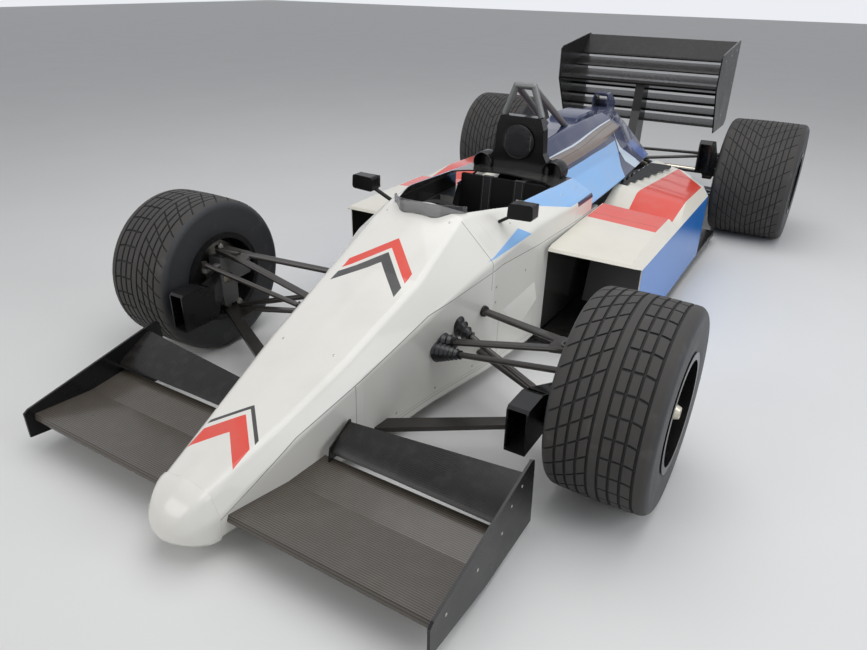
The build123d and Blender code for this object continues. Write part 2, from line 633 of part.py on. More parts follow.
HOOP_STATION = 1128
HOOP_TUBE = 30
HOOP_LINES = [
    ((88, HOOP_STATION, 850), (42, HOOP_STATION, 975)),
    ((42, HOOP_STATION, 975), (-42, HOOP_STATION, 975)),
    ((-42, HOOP_STATION, 975), (-88, HOOP_STATION, 850)),
    ((38, HOOP_STATION, 972), (52, 1540, 740)),
    ((-38, HOOP_STATION, 972), (-52, 1540, 740)),
]
with BuildPart() as roll_hoop:
    for start, end in HOOP_LINES:
        add(bar(point(*start), point(*end), HOOP_TUBE, HOOP_TUBE))
    for x in (-42, 42):
        with Locations(point(x, HOOP_STATION, 975)):
            Sphere(HOOP_TUBE / 2)
    add(COVER_OUTSIDE, mode=Mode.SUBTRACT)
    add(headrest.part, mode=Mode.SUBTRACT)
roll_hoop.part.label = "roll_hoop"
export_step(roll_hoop.part, "parts/roll_hoop.step")

# Mirrors
with BuildPart() as mirrors:
    for side, sign in SIDES:
        add(front_slab(388, 432, [(sign * 290, 634), (sign * 390, 638), (sign * 386, 694), (sign * 294, 690)], 12))
        add(bar(point(sign * 318, 416, 650), point(sign * 240, 440, 600), 18, 12))
    add(BODY_OUTSIDE, mode=Mode.SUBTRACT)
mirrors.part.label = "mirrors"
export_step(mirrors.part, "parts/mirrors.step")

# Engine block and gearbox behind the tub
ENGINE_END = 1840
GEARBOX_END = 2980
with BuildPart() as engine:
    add(front_slab(TUB_END + FIT, ENGINE_END, [(-200, 74), (200, 74), (270, 380), (120, 440), (-120, 440), (-270, 380)]))
engine.part.label = "engine"
export_step(engine.part, "parts/engine.step")

GEARBOX = [
    (ENGINE_END + FIT, 160, 96, 400),
    (2300, 112, 120, 400),
    (2700, 104, 150, 430),
    (GEARBOX_END, 70, 190, 400),
]
with BuildPart() as gearbox:
    loft([cross_section(s, [(x, low), (x, high), (-x, high), (-x, low)], 24) for s, x, low, high in GEARBOX], ruled=True)
    for side, sign in SIDES:
        with BuildSketch(Plane(origin=point(sign * 90, WHEELBASE, REAR_AXLE_Z), z_dir=(sign, 0, 0))):
            Circle(52)
        extrude(amount=SHAFT_INNER - 1 - 90)
gearbox.part.label = "gearbox"
export_step(gearbox.part, "parts/gearbox.step")

# Radiators stand slanted inside the pods
with BuildPart() as radiators:
    for side, sign in SIDES:
        add(side_slab(sign * 380, sign * 640, [(1080, FLOOR_TOP), (1130, FLOOR_TOP), (1230, 380), (1180, 380)]))
radiators.part.label = "radiators"
export_step(radiators.part, "parts/radiators.step")

# Turbochargers with their tail pipes beside the gearbox
with BuildPart() as turbochargers:
    for side, sign in SIDES:
        with BuildSketch(Plane(origin=point(sign * 240, 1960, 260), z_dir=(0, 1, 0))):
            Circle(84)
        extrude(amount=110)
        add(bar(point(sign * 200, ENGINE_END - 20, 260), point(sign * 236, 1970, 260), 60, 60))
        add(bar(point(sign * 240, 2060, 280), point(sign * 250, 2440, 330), 76, 76))
        add(bar(point(sign * 240, 2100, 282), point(sign * 250, 2450, 331), 68, 68), mode=Mode.SUBTRACT)
    add(engine.part, mode=Mode.SUBTRACT)
turbochargers.part.label = "turbochargers"
export_step(turbochargers.part, "parts/turbochargers.step")

# Rear suspension
# outer (x, station, z), inner (x, station, z), chord, depth
REAR_LEGS = [
    ((604, 2740, 446), (90, 2540, 400), 34, 16),
    ((604, 2760, 446), (90, 2880, 400), 34, 16),
    ((604, 2730, 206), (90, 2380, 150), 36, 18),
    ((604, 2770, 206), (80, 2920, 230), 36, 18),
]
REAR_PUSHROD = ((560, 2745, 222), (96, 2620, 420))
UPRIGHT_X = (596, 660)
with BuildPart() as rear_uprights:
    for side, sign in SIDES:
        add(side_slab(sign * UPRIGHT_X[0], sign * UPRIGHT_X[1], [(2714, 196), (2798, 196), (2806, 335), (2792, 458),
                                                                (2722, 458), (2706, 335)]))
        add(side_slab(sign * 650, sign * 738, [(2800, 285), (2896, 295), (2896, 375), (2800, 385)], 6))
        add(turned(sign * 540, WHEELBASE, REAR_AXLE_Z, [(0, 0), (0, HUB_BORE), (sign * 240, HUB_BORE), (sign * 240, 0)]),
            mode=Mode.SUBTRACT)
        add(turned(sign * 714, WHEELBASE, REAR_AXLE_Z, [(0, 0), (0, 142), (sign * 32, 142), (sign * 32, 0)]),
            mode=Mode.SUBTRACT)
rear_uprights.part.label = "rear_uprights"
export_step(rear_uprights.part, "parts/rear_uprights.step")

with BuildPart() as rear_wishbones:
    for side, sign in SIDES:
        for outer, inner, chord, depth in REAR_LEGS:
            add(bar(point(sign * outer[0], *outer[1:]), point(sign * inner[0], *inner[1:]), chord, depth))
    add(rear_uprights.part, mode=Mode.SUBTRACT)
    add(gearbox.part, mode=Mode.SUBTRACT)
rear_wishbones.part.label = "rear_wishbones"
export_step(rear_wishbones.part, "parts/rear_wishbones.step")

with BuildPart() as rear_pushrods:
    for side, sign in SIDES:
        start, end = [point(sign * p[0], *p[1:]) for p in REAR_PUSHROD]
        add(bar(start, end, PUSHROD_D, PUSHROD_D))
    add(gearbox.part, mode=Mode.SUBTRACT)
    add(rear_wishbones.part, mode=Mode.SUBTRACT)
rear_pushrods.part.label = "rear_pushrods"
export_step(rear_pushrods.part, "parts/rear_pushrods.step")

# Rear brake ducts: tall scoops ahead of the hubs
with BuildPart() as rear_brake_ducts:
    for side, sign in SIDES:
        add(side_slab(sign * 528, sign * 595.7, [(2430, 400), (2560, 400), (2740, 300), (2760, 400), (2560, 560),
                                                 (2450, 580), (2430, 560)], 8))
        add(side_slab(sign * 536, sign * 588, [(2420, 408), (2550, 408), (2550, 550), (2420, 562)]), mode=Mode.SUBTRACT)
        for outer, inner, chord, depth in REAR_LEGS:
            outer_end = point(sign * outer[0], *outer[1:])
            add(bar(outer_end, point(sign * inner[0], *inner[1:]), chord + 2 * FIT, depth + 2 * FIT), mode=Mode.SUBTRACT)
        add(turned(sign * 500, WHEELBASE, REAR_AXLE_Z, [(0, 0), (0, 60), (sign * 120, 60), (sign * 120, 0)]),
            mode=Mode.SUBTRACT)
rear_brake_ducts.part.label = "rear_brake_ducts"
export_step(rear_brake_ducts.part, "parts/rear_brake_ducts.step")

# Rear wing
WING_HALF = 496
REAR_END = 3340
REAR_PLANES = [
    [(2806, 812), (2812, 826), (2960, 820), (3110, 842), (3112, 838), (2960, 806), (2850, 796), (2812, 800)],
    [(3090, 866), (3098, 876), (3225, 908), (3227, 903), (3120, 866), (3096, 858)],
    [(3210, 930), (3220, 938), (3300, 1046), (3306, 1044), (3240, 936), (3214, 922)],
]
REAR_SLATS = [
    [(2990, 560), (2996, 570), (3100, 590), (3102, 586), (3000, 554)],
    [(3010, 622), (3016, 632), (3120, 652), (3122, 648), (3020, 616)],
    [(3030, 684), (3036, 694), (3140, 714), (3142, 710), (3040, 678)],
    [(3050, 746), (3056, 756), (3160, 776), (3162, 772), (3060, 740)],
]
REAR_ENDPLATE = [(2800, 800), (2800, 985), (2830, 1000), (3318, 1054), (REAR_END, 1046), (REAR_END, 560), (3300, 530), (2960, 530)]
POST_OUTLINE = [(2880, 395), (3060, 395), (3080, 795), (2960, 800), (2940, 620)]
with BuildPart() as rear_wing_planes:
    for outline in REAR_PLANES:
        add(side_slab(-WING_HALF, WING_HALF, outline))
rear_wing_planes.part.label = "rear_wing_planes"
export_step(rear_wing_planes.part, "parts/rear_wing_planes.step")

with BuildPart() as rear_wing_slats:
    for outline in REAR_SLATS:
        add(side_slab(-WING_HALF, WING_HALF, outline))
rear_wing_slats.part.label = "rear_wing_slats"

with BuildPart() as rear_wing_post:
    add(side_slab(-28, 28, POST_OUTLINE))
    add(gearbox.part, mode=Mode.SUBTRACT)
    add(rear_wing_planes.part, mode=Mode.SUBTRACT)
rear_wing_post.part.label = "rear_wing_post"
export_step(rear_wing_post.part, "parts/rear_wing_post.step")

with BuildPart() as slats_cut:
    add(rear_wing_slats.part)
    add(rear_wing_post.part, mode=Mode.SUBTRACT)
slats_cut.part.label = "rear_wing_slats"
export_step(slats_cut.part, "parts/rear_wing_slats.step")

with BuildPart() as rear_endplates:
    for side, sign in SIDES:
        add(side_slab(sign * (WING_HALF + FIT), sign * (WING_HALF + 8), REAR_ENDPLATE))
rear_endplates.part.label = "rear_endplates"
export_step(rear_endplates.part, "parts/rear_endplates.step")

with BuildPart() as rain_light:
    add(side_slab(-50, 50, [(GEARBOX_END + FIT, 250), (GEARBOX_END + 40, 250), (GEARBOX_END + 40, 330), (GEARBOX_END + FIT, 330)], 6))
rain_light.part.label = "rain_light"
export_step(rain_light.part, "parts/rain_light.step")
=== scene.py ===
# %% [markdown]
# # An open wheel racing car
# The model that comes in is a set of plain solids: the folded tub, the nose, the pods, the wings,
# four wheels and the suspension between them. What it lacks is everything that makes such a car
# look used and real: wet-weather tread, woven composite, paint in several colours, seams, bolts,
# boots and pipes. The cells below add them one at a time, each with a word on why it is made so.

# %% Load the solids and measure them
import math

import bmesh
import bpy
import numpy as np
from mathutils import Matrix, Vector
from mathutils.bvhtree import BVHTree


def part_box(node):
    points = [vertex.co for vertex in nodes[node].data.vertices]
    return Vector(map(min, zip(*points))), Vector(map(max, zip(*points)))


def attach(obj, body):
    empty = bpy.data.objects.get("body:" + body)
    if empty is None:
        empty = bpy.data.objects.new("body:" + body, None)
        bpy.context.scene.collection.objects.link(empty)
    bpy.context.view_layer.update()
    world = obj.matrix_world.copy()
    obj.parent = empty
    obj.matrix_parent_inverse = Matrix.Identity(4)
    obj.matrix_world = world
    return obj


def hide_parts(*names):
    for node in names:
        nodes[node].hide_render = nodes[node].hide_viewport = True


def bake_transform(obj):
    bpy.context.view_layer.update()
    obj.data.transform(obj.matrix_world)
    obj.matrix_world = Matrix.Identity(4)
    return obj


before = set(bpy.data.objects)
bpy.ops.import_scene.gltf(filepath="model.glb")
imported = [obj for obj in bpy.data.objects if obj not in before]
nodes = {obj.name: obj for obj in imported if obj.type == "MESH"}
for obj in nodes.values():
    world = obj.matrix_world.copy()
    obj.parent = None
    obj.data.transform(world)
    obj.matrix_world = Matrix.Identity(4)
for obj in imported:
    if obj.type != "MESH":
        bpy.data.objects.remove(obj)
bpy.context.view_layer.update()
FRONT_RADIUS, REAR_RADIUS = 0.309, 0.335
FRONT_AXLE_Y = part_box("tyre_front_left")[0].y / 2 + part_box("tyre_front_left")[1].y / 2
REAR_AXLE_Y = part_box("tyre_rear_left")[0].y / 2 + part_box("tyre_rear_left")[1].y / 2
print("front axle", round(FRONT_AXLE_Y, 4), "rear axle", round(REAR_AXLE_Y, 4))


# %% [markdown]
# ## Wiring materials
# A material is a small net of nodes. Two calls keep the nets readable: one makes a node, fills in
# its plain values and wires its inputs, the other does one step of arithmetic. Both take either a
# number or the output of another node, so a whole pattern can be written as a formula. The steps
# that turn up most have a name of their own. Each call works in the net its inputs come from.

# %% Calls for node nets
def wire(node, inputs):
    """Fills in the sockets of a node: an output is linked, a plain value is written."""
    for key, value in inputs.items():
        if isinstance(value, bpy.types.NodeSocket):
            node.id_data.links.new(value, node.inputs[key])
        else:
            node.inputs[key].default_value = value


def add_node(kind, inputs, **settings):
    """Makes one node in the net that its inputs come from; inputs are numbers, colours or outputs
    to wire, settings are the node's own fields."""
    tree = next(value.id_data for value in inputs.values() if isinstance(value, bpy.types.NodeSocket))
    node = tree.nodes.new(kind)
    for name, value in settings.items():
        setattr(node, name, value)
    wire(node, inputs)
    return node


def calc(operation, *values):
    """One step of arithmetic on numbers or outputs."""
    return add_node("ShaderNodeMath", dict(enumerate(values)), operation=operation).outputs[0]


def plus(first, second):
    """The sum of two values."""
    return calc("ADD", first, second)


def minus(first, second):
    """The first value less the second."""
    return calc("SUBTRACT", first, second)


def times(first, second):
    """The product of two values; of two masks it is 1 where both are."""
    return calc("MULTIPLY", first, second)


def either(first, second):
    """The larger of two values; of two masks it is 1 where one of them is."""
    return calc("MAXIMUM", first, second)


def pick(factor, low, high):
    """The number low where factor is 0 and high where it is 1."""
    return add_node("ShaderNodeMix", {0: factor, 2: low, 3: high}).outputs[0]


def noise(place, scale, detail):
    """Cloudy noise between 0 and 1."""
    return add_node("ShaderNodeTexNoise", {"Vector": place, "Scale": scale, "Detail": detail}).outputs[0]


def bump(strength, distance, height):
    """The normal of a face that a height, times distance in metres, makes uneven."""
    inputs = {"Strength": strength, "Distance": distance, "Height": height}
    return add_node("ShaderNodeBump", inputs).outputs[0]


def step_up(value, low, high):
    """A smooth rise from 0 at low to 1 at high."""
    inputs = {"Value": value, "From Min": low, "From Max": high}
    return add_node("ShaderNodeMapRange", inputs, interpolation_type="SMOOTHSTEP").outputs[0]


def mix_colour(factor, below, above):
    """The colour below where factor is 0 and the colour above where it is 1."""
    return add_node("ShaderNodeMix", {0: factor, 6: below, 7: above}, data_type="RGBA").outputs[2]


def start_group(name, inputs, outputs):
    """An empty node group: inputs are (name, kind, value), outputs are (name, kind). It comes back
    with the outputs of its first node and with its last node."""
    tree = bpy.data.node_groups.new(name, "ShaderNodeTree")
    for label, kind, value in inputs:
        socket = tree.interface.new_socket(label, in_out="INPUT", socket_type="NodeSocket" + kind)
        socket.default_value = value
    for label, kind in outputs:
        tree.interface.new_socket(label, in_out="OUTPUT", socket_type="NodeSocket" + kind)
    given = tree.nodes.new("NodeGroupInput").outputs
    result = tree.nodes.new("NodeGroupOutput")
    return tree, given, result


def use_group(place, group, **inputs):
    """Sets a node group in the net of place and wires its inputs."""
    node = place.id_data.nodes.new("ShaderNodeGroup")
    node.node_tree = group
    wire(node, inputs)
    return node.outputs


def object_place(tree):
    """The place on the object, in metres."""
    return tree.nodes.new("ShaderNodeTexCoord").outputs["Object"]


def start_material(name, **plain):
    """A material with one Principled BSDF; plain are values set on its own sockets."""
    material = bpy.data.materials.new(name)
    material.use_nodes = True
    tree = material.node_tree
    shader = tree.nodes["Principled BSDF"]
    feed(shader, **plain)
    return material, shader, object_place(tree)


def feed(shader, **sockets):
    """Fills in the shader's sockets by name."""
    wire(shader, {key.replace("_", " "): socket for key, socket in sockets.items()})


def face_normal(place, kind="Normal"):
    """The x, y and z of a face's normal; the kind True Normal knows no smoothing."""
    return split(place.id_data.nodes.new("ShaderNodeNewGeometry").outputs[kind])


def split(vector):
    """The x, y and z of a vector."""
    return add_node("ShaderNodeSeparateXYZ", {0: vector}).outputs


print("node calls ready")


# %% [markdown]
# ## Effects that many finishes share
# Dust, fine grain, worn edges and the weave of composite cloth turn up on several pieces. Each is
# built once as a node group with named inputs. A group hands out only masks and heights, so every
# finish can use it at its own strength.

# %% Shared effects
def dust_group():
    """Dust gathers in soft patches where a face looks up: the height of its normal, times noise."""
    inputs = [("Scale", "Float", 6.0), ("Amount", "Float", 0.5)]
    tree, given, result = start_group("settled dust", inputs, [("Mask", "Float")])
    place = object_place(tree)
    patches = step_up(noise(place, given["Scale"], 6.0), 0.42, 0.75)
    upward = step_up(face_normal(place)[2], 0.1, 0.95)
    mask = times(times(patches, upward), given["Amount"])
    wire(result, {"Mask": mask})
    return tree


def weave_group():
    """Twill cloth: threads run over two and under two, so bands of a diagonal alternate between
    the thread that runs along x and the one that runs along y; each thread is a half round."""
    inputs = [("Vector", "Vector", (0, 0, 0)), ("Thread", "Float", 0.003)]
    tree, given, result = start_group("twill weave", inputs, [("Mask", "Float"), ("Height", "Float")])
    x, y, z = split(given["Vector"])
    across = calc("DIVIDE", x, given["Thread"])
    along = calc("DIVIDE", plus(y, times(z, 0.7)), given["Thread"])
    threads_apart = minus(calc("FLOOR", across), calc("FLOOR", along))
    diagonal = calc("FLOORED_MODULO", threads_apart, 4.0)
    over = calc("LESS_THAN", diagonal, 1.5)
    height = pick(over, calc("PINGPONG", across, 0.5), calc("PINGPONG", along, 0.5))
    wire(result, {"Mask": over, "Height": height})
    return tree


def grain_group():
    """Fine grain: two sizes of noise, the large one for slow colour change and the small for bump."""
    inputs = [("Vector", "Vector", (0, 0, 0)), ("Slow", "Float", 5.0), ("Fine", "Float", 300.0)]
    tree, given, result = start_group("grain", inputs, [("Slow", "Float"), ("Fine", "Float")])
    for size, detail in (("Slow", 5.0), ("Fine", 3.0)):
        wire(result, {size: noise(given["Vector"], given[size], detail)})
    return tree


def wear_group():
    """Worn edges: the normal rounded off by a few millimetres differs from the true one only near
    an edge; one minus their dot product, broken up by noise, is the mask."""
    inputs = [("Reach", "Float", 0.003), ("Amount", "Float", 0.5)]
    tree, given, result = start_group("edge wear", inputs, [("Mask", "Float")])
    true_normal = tree.nodes.new("ShaderNodeNewGeometry").outputs["Normal"]
    bevel = add_node("ShaderNodeBevel", {"Radius": given["Reach"]}, samples=3).outputs[0]
    dot = add_node("ShaderNodeVectorMath", {0: true_normal, 1: bevel}, operation="DOT_PRODUCT")
    near = step_up(minus(1.0, dot.outputs["Value"]), 0.02, 0.2)
    place = object_place(tree)
    broken = times(near, step_up(noise(place, 60.0, 4.0), 0.4, 0.65))
    wire(result, {"Mask": times(broken, given["Amount"])})
    return tree


DUST, WEAVE, GRAIN, WEAR = dust_group(), weave_group(), grain_group(), wear_group()


def grain_at(place, slow, fine):
    """The grain on a finish: slow and fine say how small its two noises are."""
    return use_group(place, GRAIN, Vector=place, Slow=slow, Fine=fine)


print("shared groups:", [g.name for g in (DUST, WEAVE, GRAIN, WEAR)])


# %% [markdown]
# ## Camera
# The picture was taken by someone standing near the left front corner and looking down over the
# nose. Position, turn, tilt and a slight lean of the camera came from the ellipses of the tyres.

# %% Camera
WIDTH, FOCAL_PX, SENSOR, CAMERA_PLACE = 867, 679.93, 36, (1.2588, -2.9106, 1.3918)
yaw, pitch, lean = 0.5386, 0.4741, 0.0162
forward = Vector((-math.sin(yaw) * math.cos(pitch), math.cos(yaw) * math.cos(pitch), -math.sin(pitch)))
level_right = Vector((math.cos(yaw), math.sin(yaw), 0))
level_up = level_right.cross(forward)
right = math.cos(lean) * level_right + math.sin(lean) * level_up
up = math.cos(lean) * level_up - math.sin(lean) * level_right
camera = bpy.data.objects.new("camera", bpy.data.cameras.new("camera"))
bpy.context.scene.collection.objects.link(camera)
turn = Matrix((right, up, -forward)).transposed().to_4x4()
camera.matrix_world = Matrix.Translation(CAMERA_PLACE) @ turn
camera.data.sensor_width = SENSOR
camera.data.lens = FOCAL_PX * SENSOR / WIDTH
camera.data.clip_start, camera.data.clip_end = 0.05, 100
bpy.context.scene.camera = camera
print("lens", round(camera.data.lens, 2), "mm")


# %% [markdown]
# ## Floor and light
# A pale floor and broad soft lamps, as in a studio. Gloss paint and black composite only look
# right with something bright to mirror, so a long lamp hangs over the car and two stand beside it.

# %% Floor and light
FLOOR_HALF = 30
corners = np.array([(-1, -1, 0), (1, -1, 0), (1, 1, 0), (-1, 1, 0)], float) * FLOOR_HALF
mesh = bpy.data.meshes.new("studio_floor")
mesh.from_pydata(corners.tolist(), [], [(0, 1, 2, 3)])
studio_floor = bpy.data.objects.new("studio_floor", mesh)
bpy.context.scene.collection.objects.link(studio_floor)
material, shader, place = start_material("studio floor", Roughness=0.75)
grain = grain_at(place, 1.5, 120.0)
tone = mix_colour(grain["Slow"], (0.72, 0.72, 0.71, 1), (0.77, 0.77, 0.76, 1))
feed(shader, Base_Color=tone)
mesh.materials.append(material)

world = bpy.data.worlds.new("studio")
bpy.context.scene.world = world
world.use_nodes = True
sky = world.node_tree
path = sky.nodes.new("ShaderNodeLightPath").outputs
seen = either(path["Is Camera Ray"], path["Is Transmission Ray"])
strength = pick(either(seen, path["Is Glossy Ray"]), 0.35, 0.9)
background = sky.nodes["Background"]
background.inputs["Color"].default_value = (0.93, 0.95, 1.0, 1)
sky.links.new(strength, background.inputs["Strength"])


def soft_lamp(name, place, target, size, power, tint=(1, 1, 1)):
    """A rectangular lamp at a place, turned to face its target."""
    data = bpy.data.lights.new(name, "AREA")
    data.shape = "RECTANGLE"
    data.size, data.size_y = size
    data.energy, data.color = power, tint
    lamp = bpy.data.objects.new(name, data)
    bpy.context.scene.collection.objects.link(lamp)
    aim = (Vector(target) - Vector(place)).to_track_quat("-Z", "Y")
    lamp.matrix_world = Matrix.Translation(place) @ aim.to_matrix().to_4x4()
    return lamp


soft_lamp("overhead", (0.5, -0.5, 4.6), (0.2, 0, 0), (3.4, 5.5), 130)
soft_lamp("left_side", (4.6, -0.8, 2.3), (0, 0, 0.3), (2.6, 3.0), 60, (0.93, 0.96, 1))
soft_lamp("front", (-1.8, -5.2, 2.6), (0, -0.6, 0.2), (2.6, 2.0), 45, (1, 0.98, 0.95))
bpy.context.scene.view_settings.view_transform = "Standard"

# %% [markdown]
# ## Paint
# The shell is painted in several colours whose borders don't follow its edges, as sign painters
# do it. Each border is a formula of the place on the car: how far back, how high, how far out.
# A mask is 1 inside its border, and the paint takes the colour of the last mask that covers it.
# All paints share clear lacquer, a slow change of tone, and dust on what faces up.

# %% Masks for painted borders
PAINT_EDGE = 0.0006


def car_place(place):
    """Distance out from the middle plane, distance behind the front axle, and height."""
    x, y, z = split(place)
    return calc("ABSOLUTE", x), minus(y, FRONT_AXLE_Y), z


def above(value, edge, soft=PAINT_EDGE):
    """1 where value is past the edge, which is a number or another value."""
    if isinstance(edge, bpy.types.NodeSocket):
        value, edge = minus(value, edge), 0
    return step_up(value, edge - soft, edge + soft)


def outside(mask):
    """1 where a mask is 0."""
    return minus(1.0, mask)


def below(value, edge, soft=PAINT_EDGE):
    """1 where value is short of the edge."""
    return outside(above(value, edge, soft))


def between(value, low, high, soft=PAINT_EDGE):
    """1 where value lies between two borders."""
    return times(above(value, low, soft), below(value, high, soft))


def both(*masks):
    """1 where all masks are 1."""
    result = masks[0]
    for mask in masks[1:]:
        result = times(result, mask)
    return result


def sloped(value, along_value, slope):
    """A value less slope times another one: turns a straight border into a leaning one."""
    return minus(value, times(along_value, slope))


def border_curve(value, points):
    """Height of a border that runs straight from point to point; points are (distance, height)."""
    low, high = points[0][0], points[-1][0]
    base, top = min(height for _, height in points), max(height for _, height in points)
    spread = add_node("ShaderNodeMapRange", {"Value": value, "From Min": low, "From Max": high}).outputs[0]
    node = add_node("ShaderNodeFloatCurve", {"Value": spread})
    line = node.mapping.curves[0]
    for i, (distance, height) in enumerate(points):
        share = ((distance - low) / (high - low), (height - base) / (top - base))
        if i in (0, len(points) - 1):
            line.points[0 if i == 0 else -1].location = share
        else:
            line.points.new(*share)
    for point in line.points:
        point.handle_type = "VECTOR"
    node.mapping.update()
    return plus(base, times(node.outputs[0], top - base))


def inner_faces(place, middle_height):
    """1 on faces that look toward the middle line of the car: the unseen side of a thin shell."""
    x, _, z = split(place)
    normal = face_normal(place, "True Normal")
    out_x = times(normal[0], calc("SIGN", x))
    out_z = times(normal[2], minus(z, middle_height))
    facing = plus(times(out_x, calc("ABSOLUTE", x)), out_z)
    return calc("LESS_THAN", facing, -0.004)


WHITE = (0.80, 0.785, 0.735, 1)
CREAM = (0.76, 0.73, 0.64, 1)
RED = (0.78, 0.055, 0.03, 1)
LIGHT_BLUE = (0.22, 0.47, 0.84, 1)
MID_BLUE = (0.0, 0.19, 0.66, 1)
NAVY = (0.012, 0.024, 0.09, 1)
CHARCOAL = (0.035, 0.035, 0.038, 1)
INSIDE_BLACK = (0.012, 0.012, 0.013, 1)
PALE_BLUE = (0.50, 0.62, 0.74, 1)
SHELL_SEAM = [(-0.86, 0.131), (-0.60, 0.246), (-0.345, 0.322), (-0.04, 0.412), (0.35, 0.476),
              (1.30, 0.476)]
JOINT_WIDTH = 0.0018
CHEVRONS = ((RED, -0.70, -0.635, 0.088), (CHARCOAL, -0.615, -0.60, 0.092), (CHARCOAL, 0.03, 0.075, 0.13),
            (RED, 0.095, 0.14, 0.13))  # colour, front, end, half width
CREASE = [(0.26, 0.5060), (0.54, 0.5380), (0.70, 0.5520), (0.95, 0.5540), (1.30, 0.5540)]


def painted(colour, *layers):
    """A colour with layers over it; each layer is a mask and the colour it shows."""
    for mask, over in layers:
        colour = mix_colour(mask, colour, over)
    return colour


def lacquered(shader, place, colour, roughness=0.16):
    """Finishes a paint: slow change of tone, dust on top, and the fine swirl of polishing."""
    grain = grain_at(place, 2.2, 900.0)
    shade = mix_colour(times(grain["Slow"], 0.12), colour, (0.45, 0.43, 0.38, 1))
    dust = use_group(place, DUST, Scale=7.0, Amount=0.10)["Mask"]
    dusty = mix_colour(dust, shade, (0.42, 0.40, 0.37, 1))
    rough = plus(roughness, times(grain["Slow"], 0.12))
    feed(shader, Base_Color=dusty, Roughness=plus(rough, times(dust, 0.4)),
         Normal=bump(0.015, 0.001, grain["Fine"]))


print("paint masks ready")

# %% [markdown]
# ### The white shell
# Nose and tub are white, with a light-blue stripe that starts as a point beside the cockpit and
# widens as it climbs back to the engine cover. The folded tub is one solid, so the dark inside is
# told from the painted outside by which way a face looks: inner faces look toward the middle.
# Marks of plain shapes stand where such a car carries its race decoration.

# %% Body paint
def stripe_mask(back, high):
    """Blue above the crease of the side: a wedge that starts as a point, then, past a bare patch
    with leaning ends, the whole side back to the engine cover."""
    over_crease = above(high, border_curve(back, CREASE))
    wedge = both(below(sloped(high, back, 0.263), 0.4363),
                 below(sloped(back, high, -1.60), 1.404), above(back, 0.27))
    rear = above(sloped(back, high, -4.43), 3.348)
    return times(over_crease, either(wedge, rear))


def body_paint():
    """White outside with stripe and plain marks, black inside."""
    material, shader, place = start_material("body paint", Coat_Weight=0.4, Coat_Roughness=0.03,
                                             Specular_IOR_Level=0.3)
    out, back, high = car_place(place)
    normal = face_normal(place)
    looks_up = above(normal[2], 0.45)
    under_crease = minus(border_curve(back, CREASE), high)
    under_cover = both(above(back, 0.97), between(under_crease, 0, 0.020))
    shelf = both(above(back, 0.915), below(out, 0.246), above(high, 0.585))
    colour = painted(WHITE, (stripe_mask(back, high), LIGHT_BLUE), (under_cover, NAVY),
                     (shelf, INSIDE_BLACK))
    chevron = plus(back, times(out, 0.9))
    for mark_colour, front, end, half_width in CHEVRONS:
        mask = both(between(chevron, front, end), looks_up, below(out, half_width))
        colour = mix_colour(mask, colour, mark_colour)
    seam_height = border_curve(back, SHELL_SEAM)
    off_seam = calc("ABSOLUTE", minus(high, seam_height))
    seam = both(outside(step_up(off_seam, 0.0006, 0.0016)), above(back, -0.86))
    upright_joints = (
        (0.2850, above(out, 0.165), above(high, 0.395)),
        (0.3460, between(high, 0.08, 0.29), above(out, 0.2)),
        (-0.3800, below(high, 0.310)),
    )
    for station, *limits in upright_joints:
        joint = between(back, station, station + JOINT_WIDTH)
        seam = either(seam, both(joint, *limits))
    strip = either(between(high, 0.088, 0.0905), between(high, 0.100, 0.1015))
    strip = both(strip, above(back, -0.33), below(back, 1.2))
    lines = either(times(strip, 0.55), seam)
    inside = both(inner_faces(place, 0.30), above(back, -0.30))
    in_duct = both(between(back, 0.705, 1.29), above(out, 0.325), below(high, 0.44))
    colour = painted(colour, (times(lines, 0.85), (0.05, 0.05, 0.05, 1)),
                     (either(inside, in_duct), INSIDE_BLACK))
    lacquered(shader, place, colour)
    return material


BODY_PAINT = body_paint()
print("body paint:", len(BODY_PAINT.node_tree.nodes), "nodes")
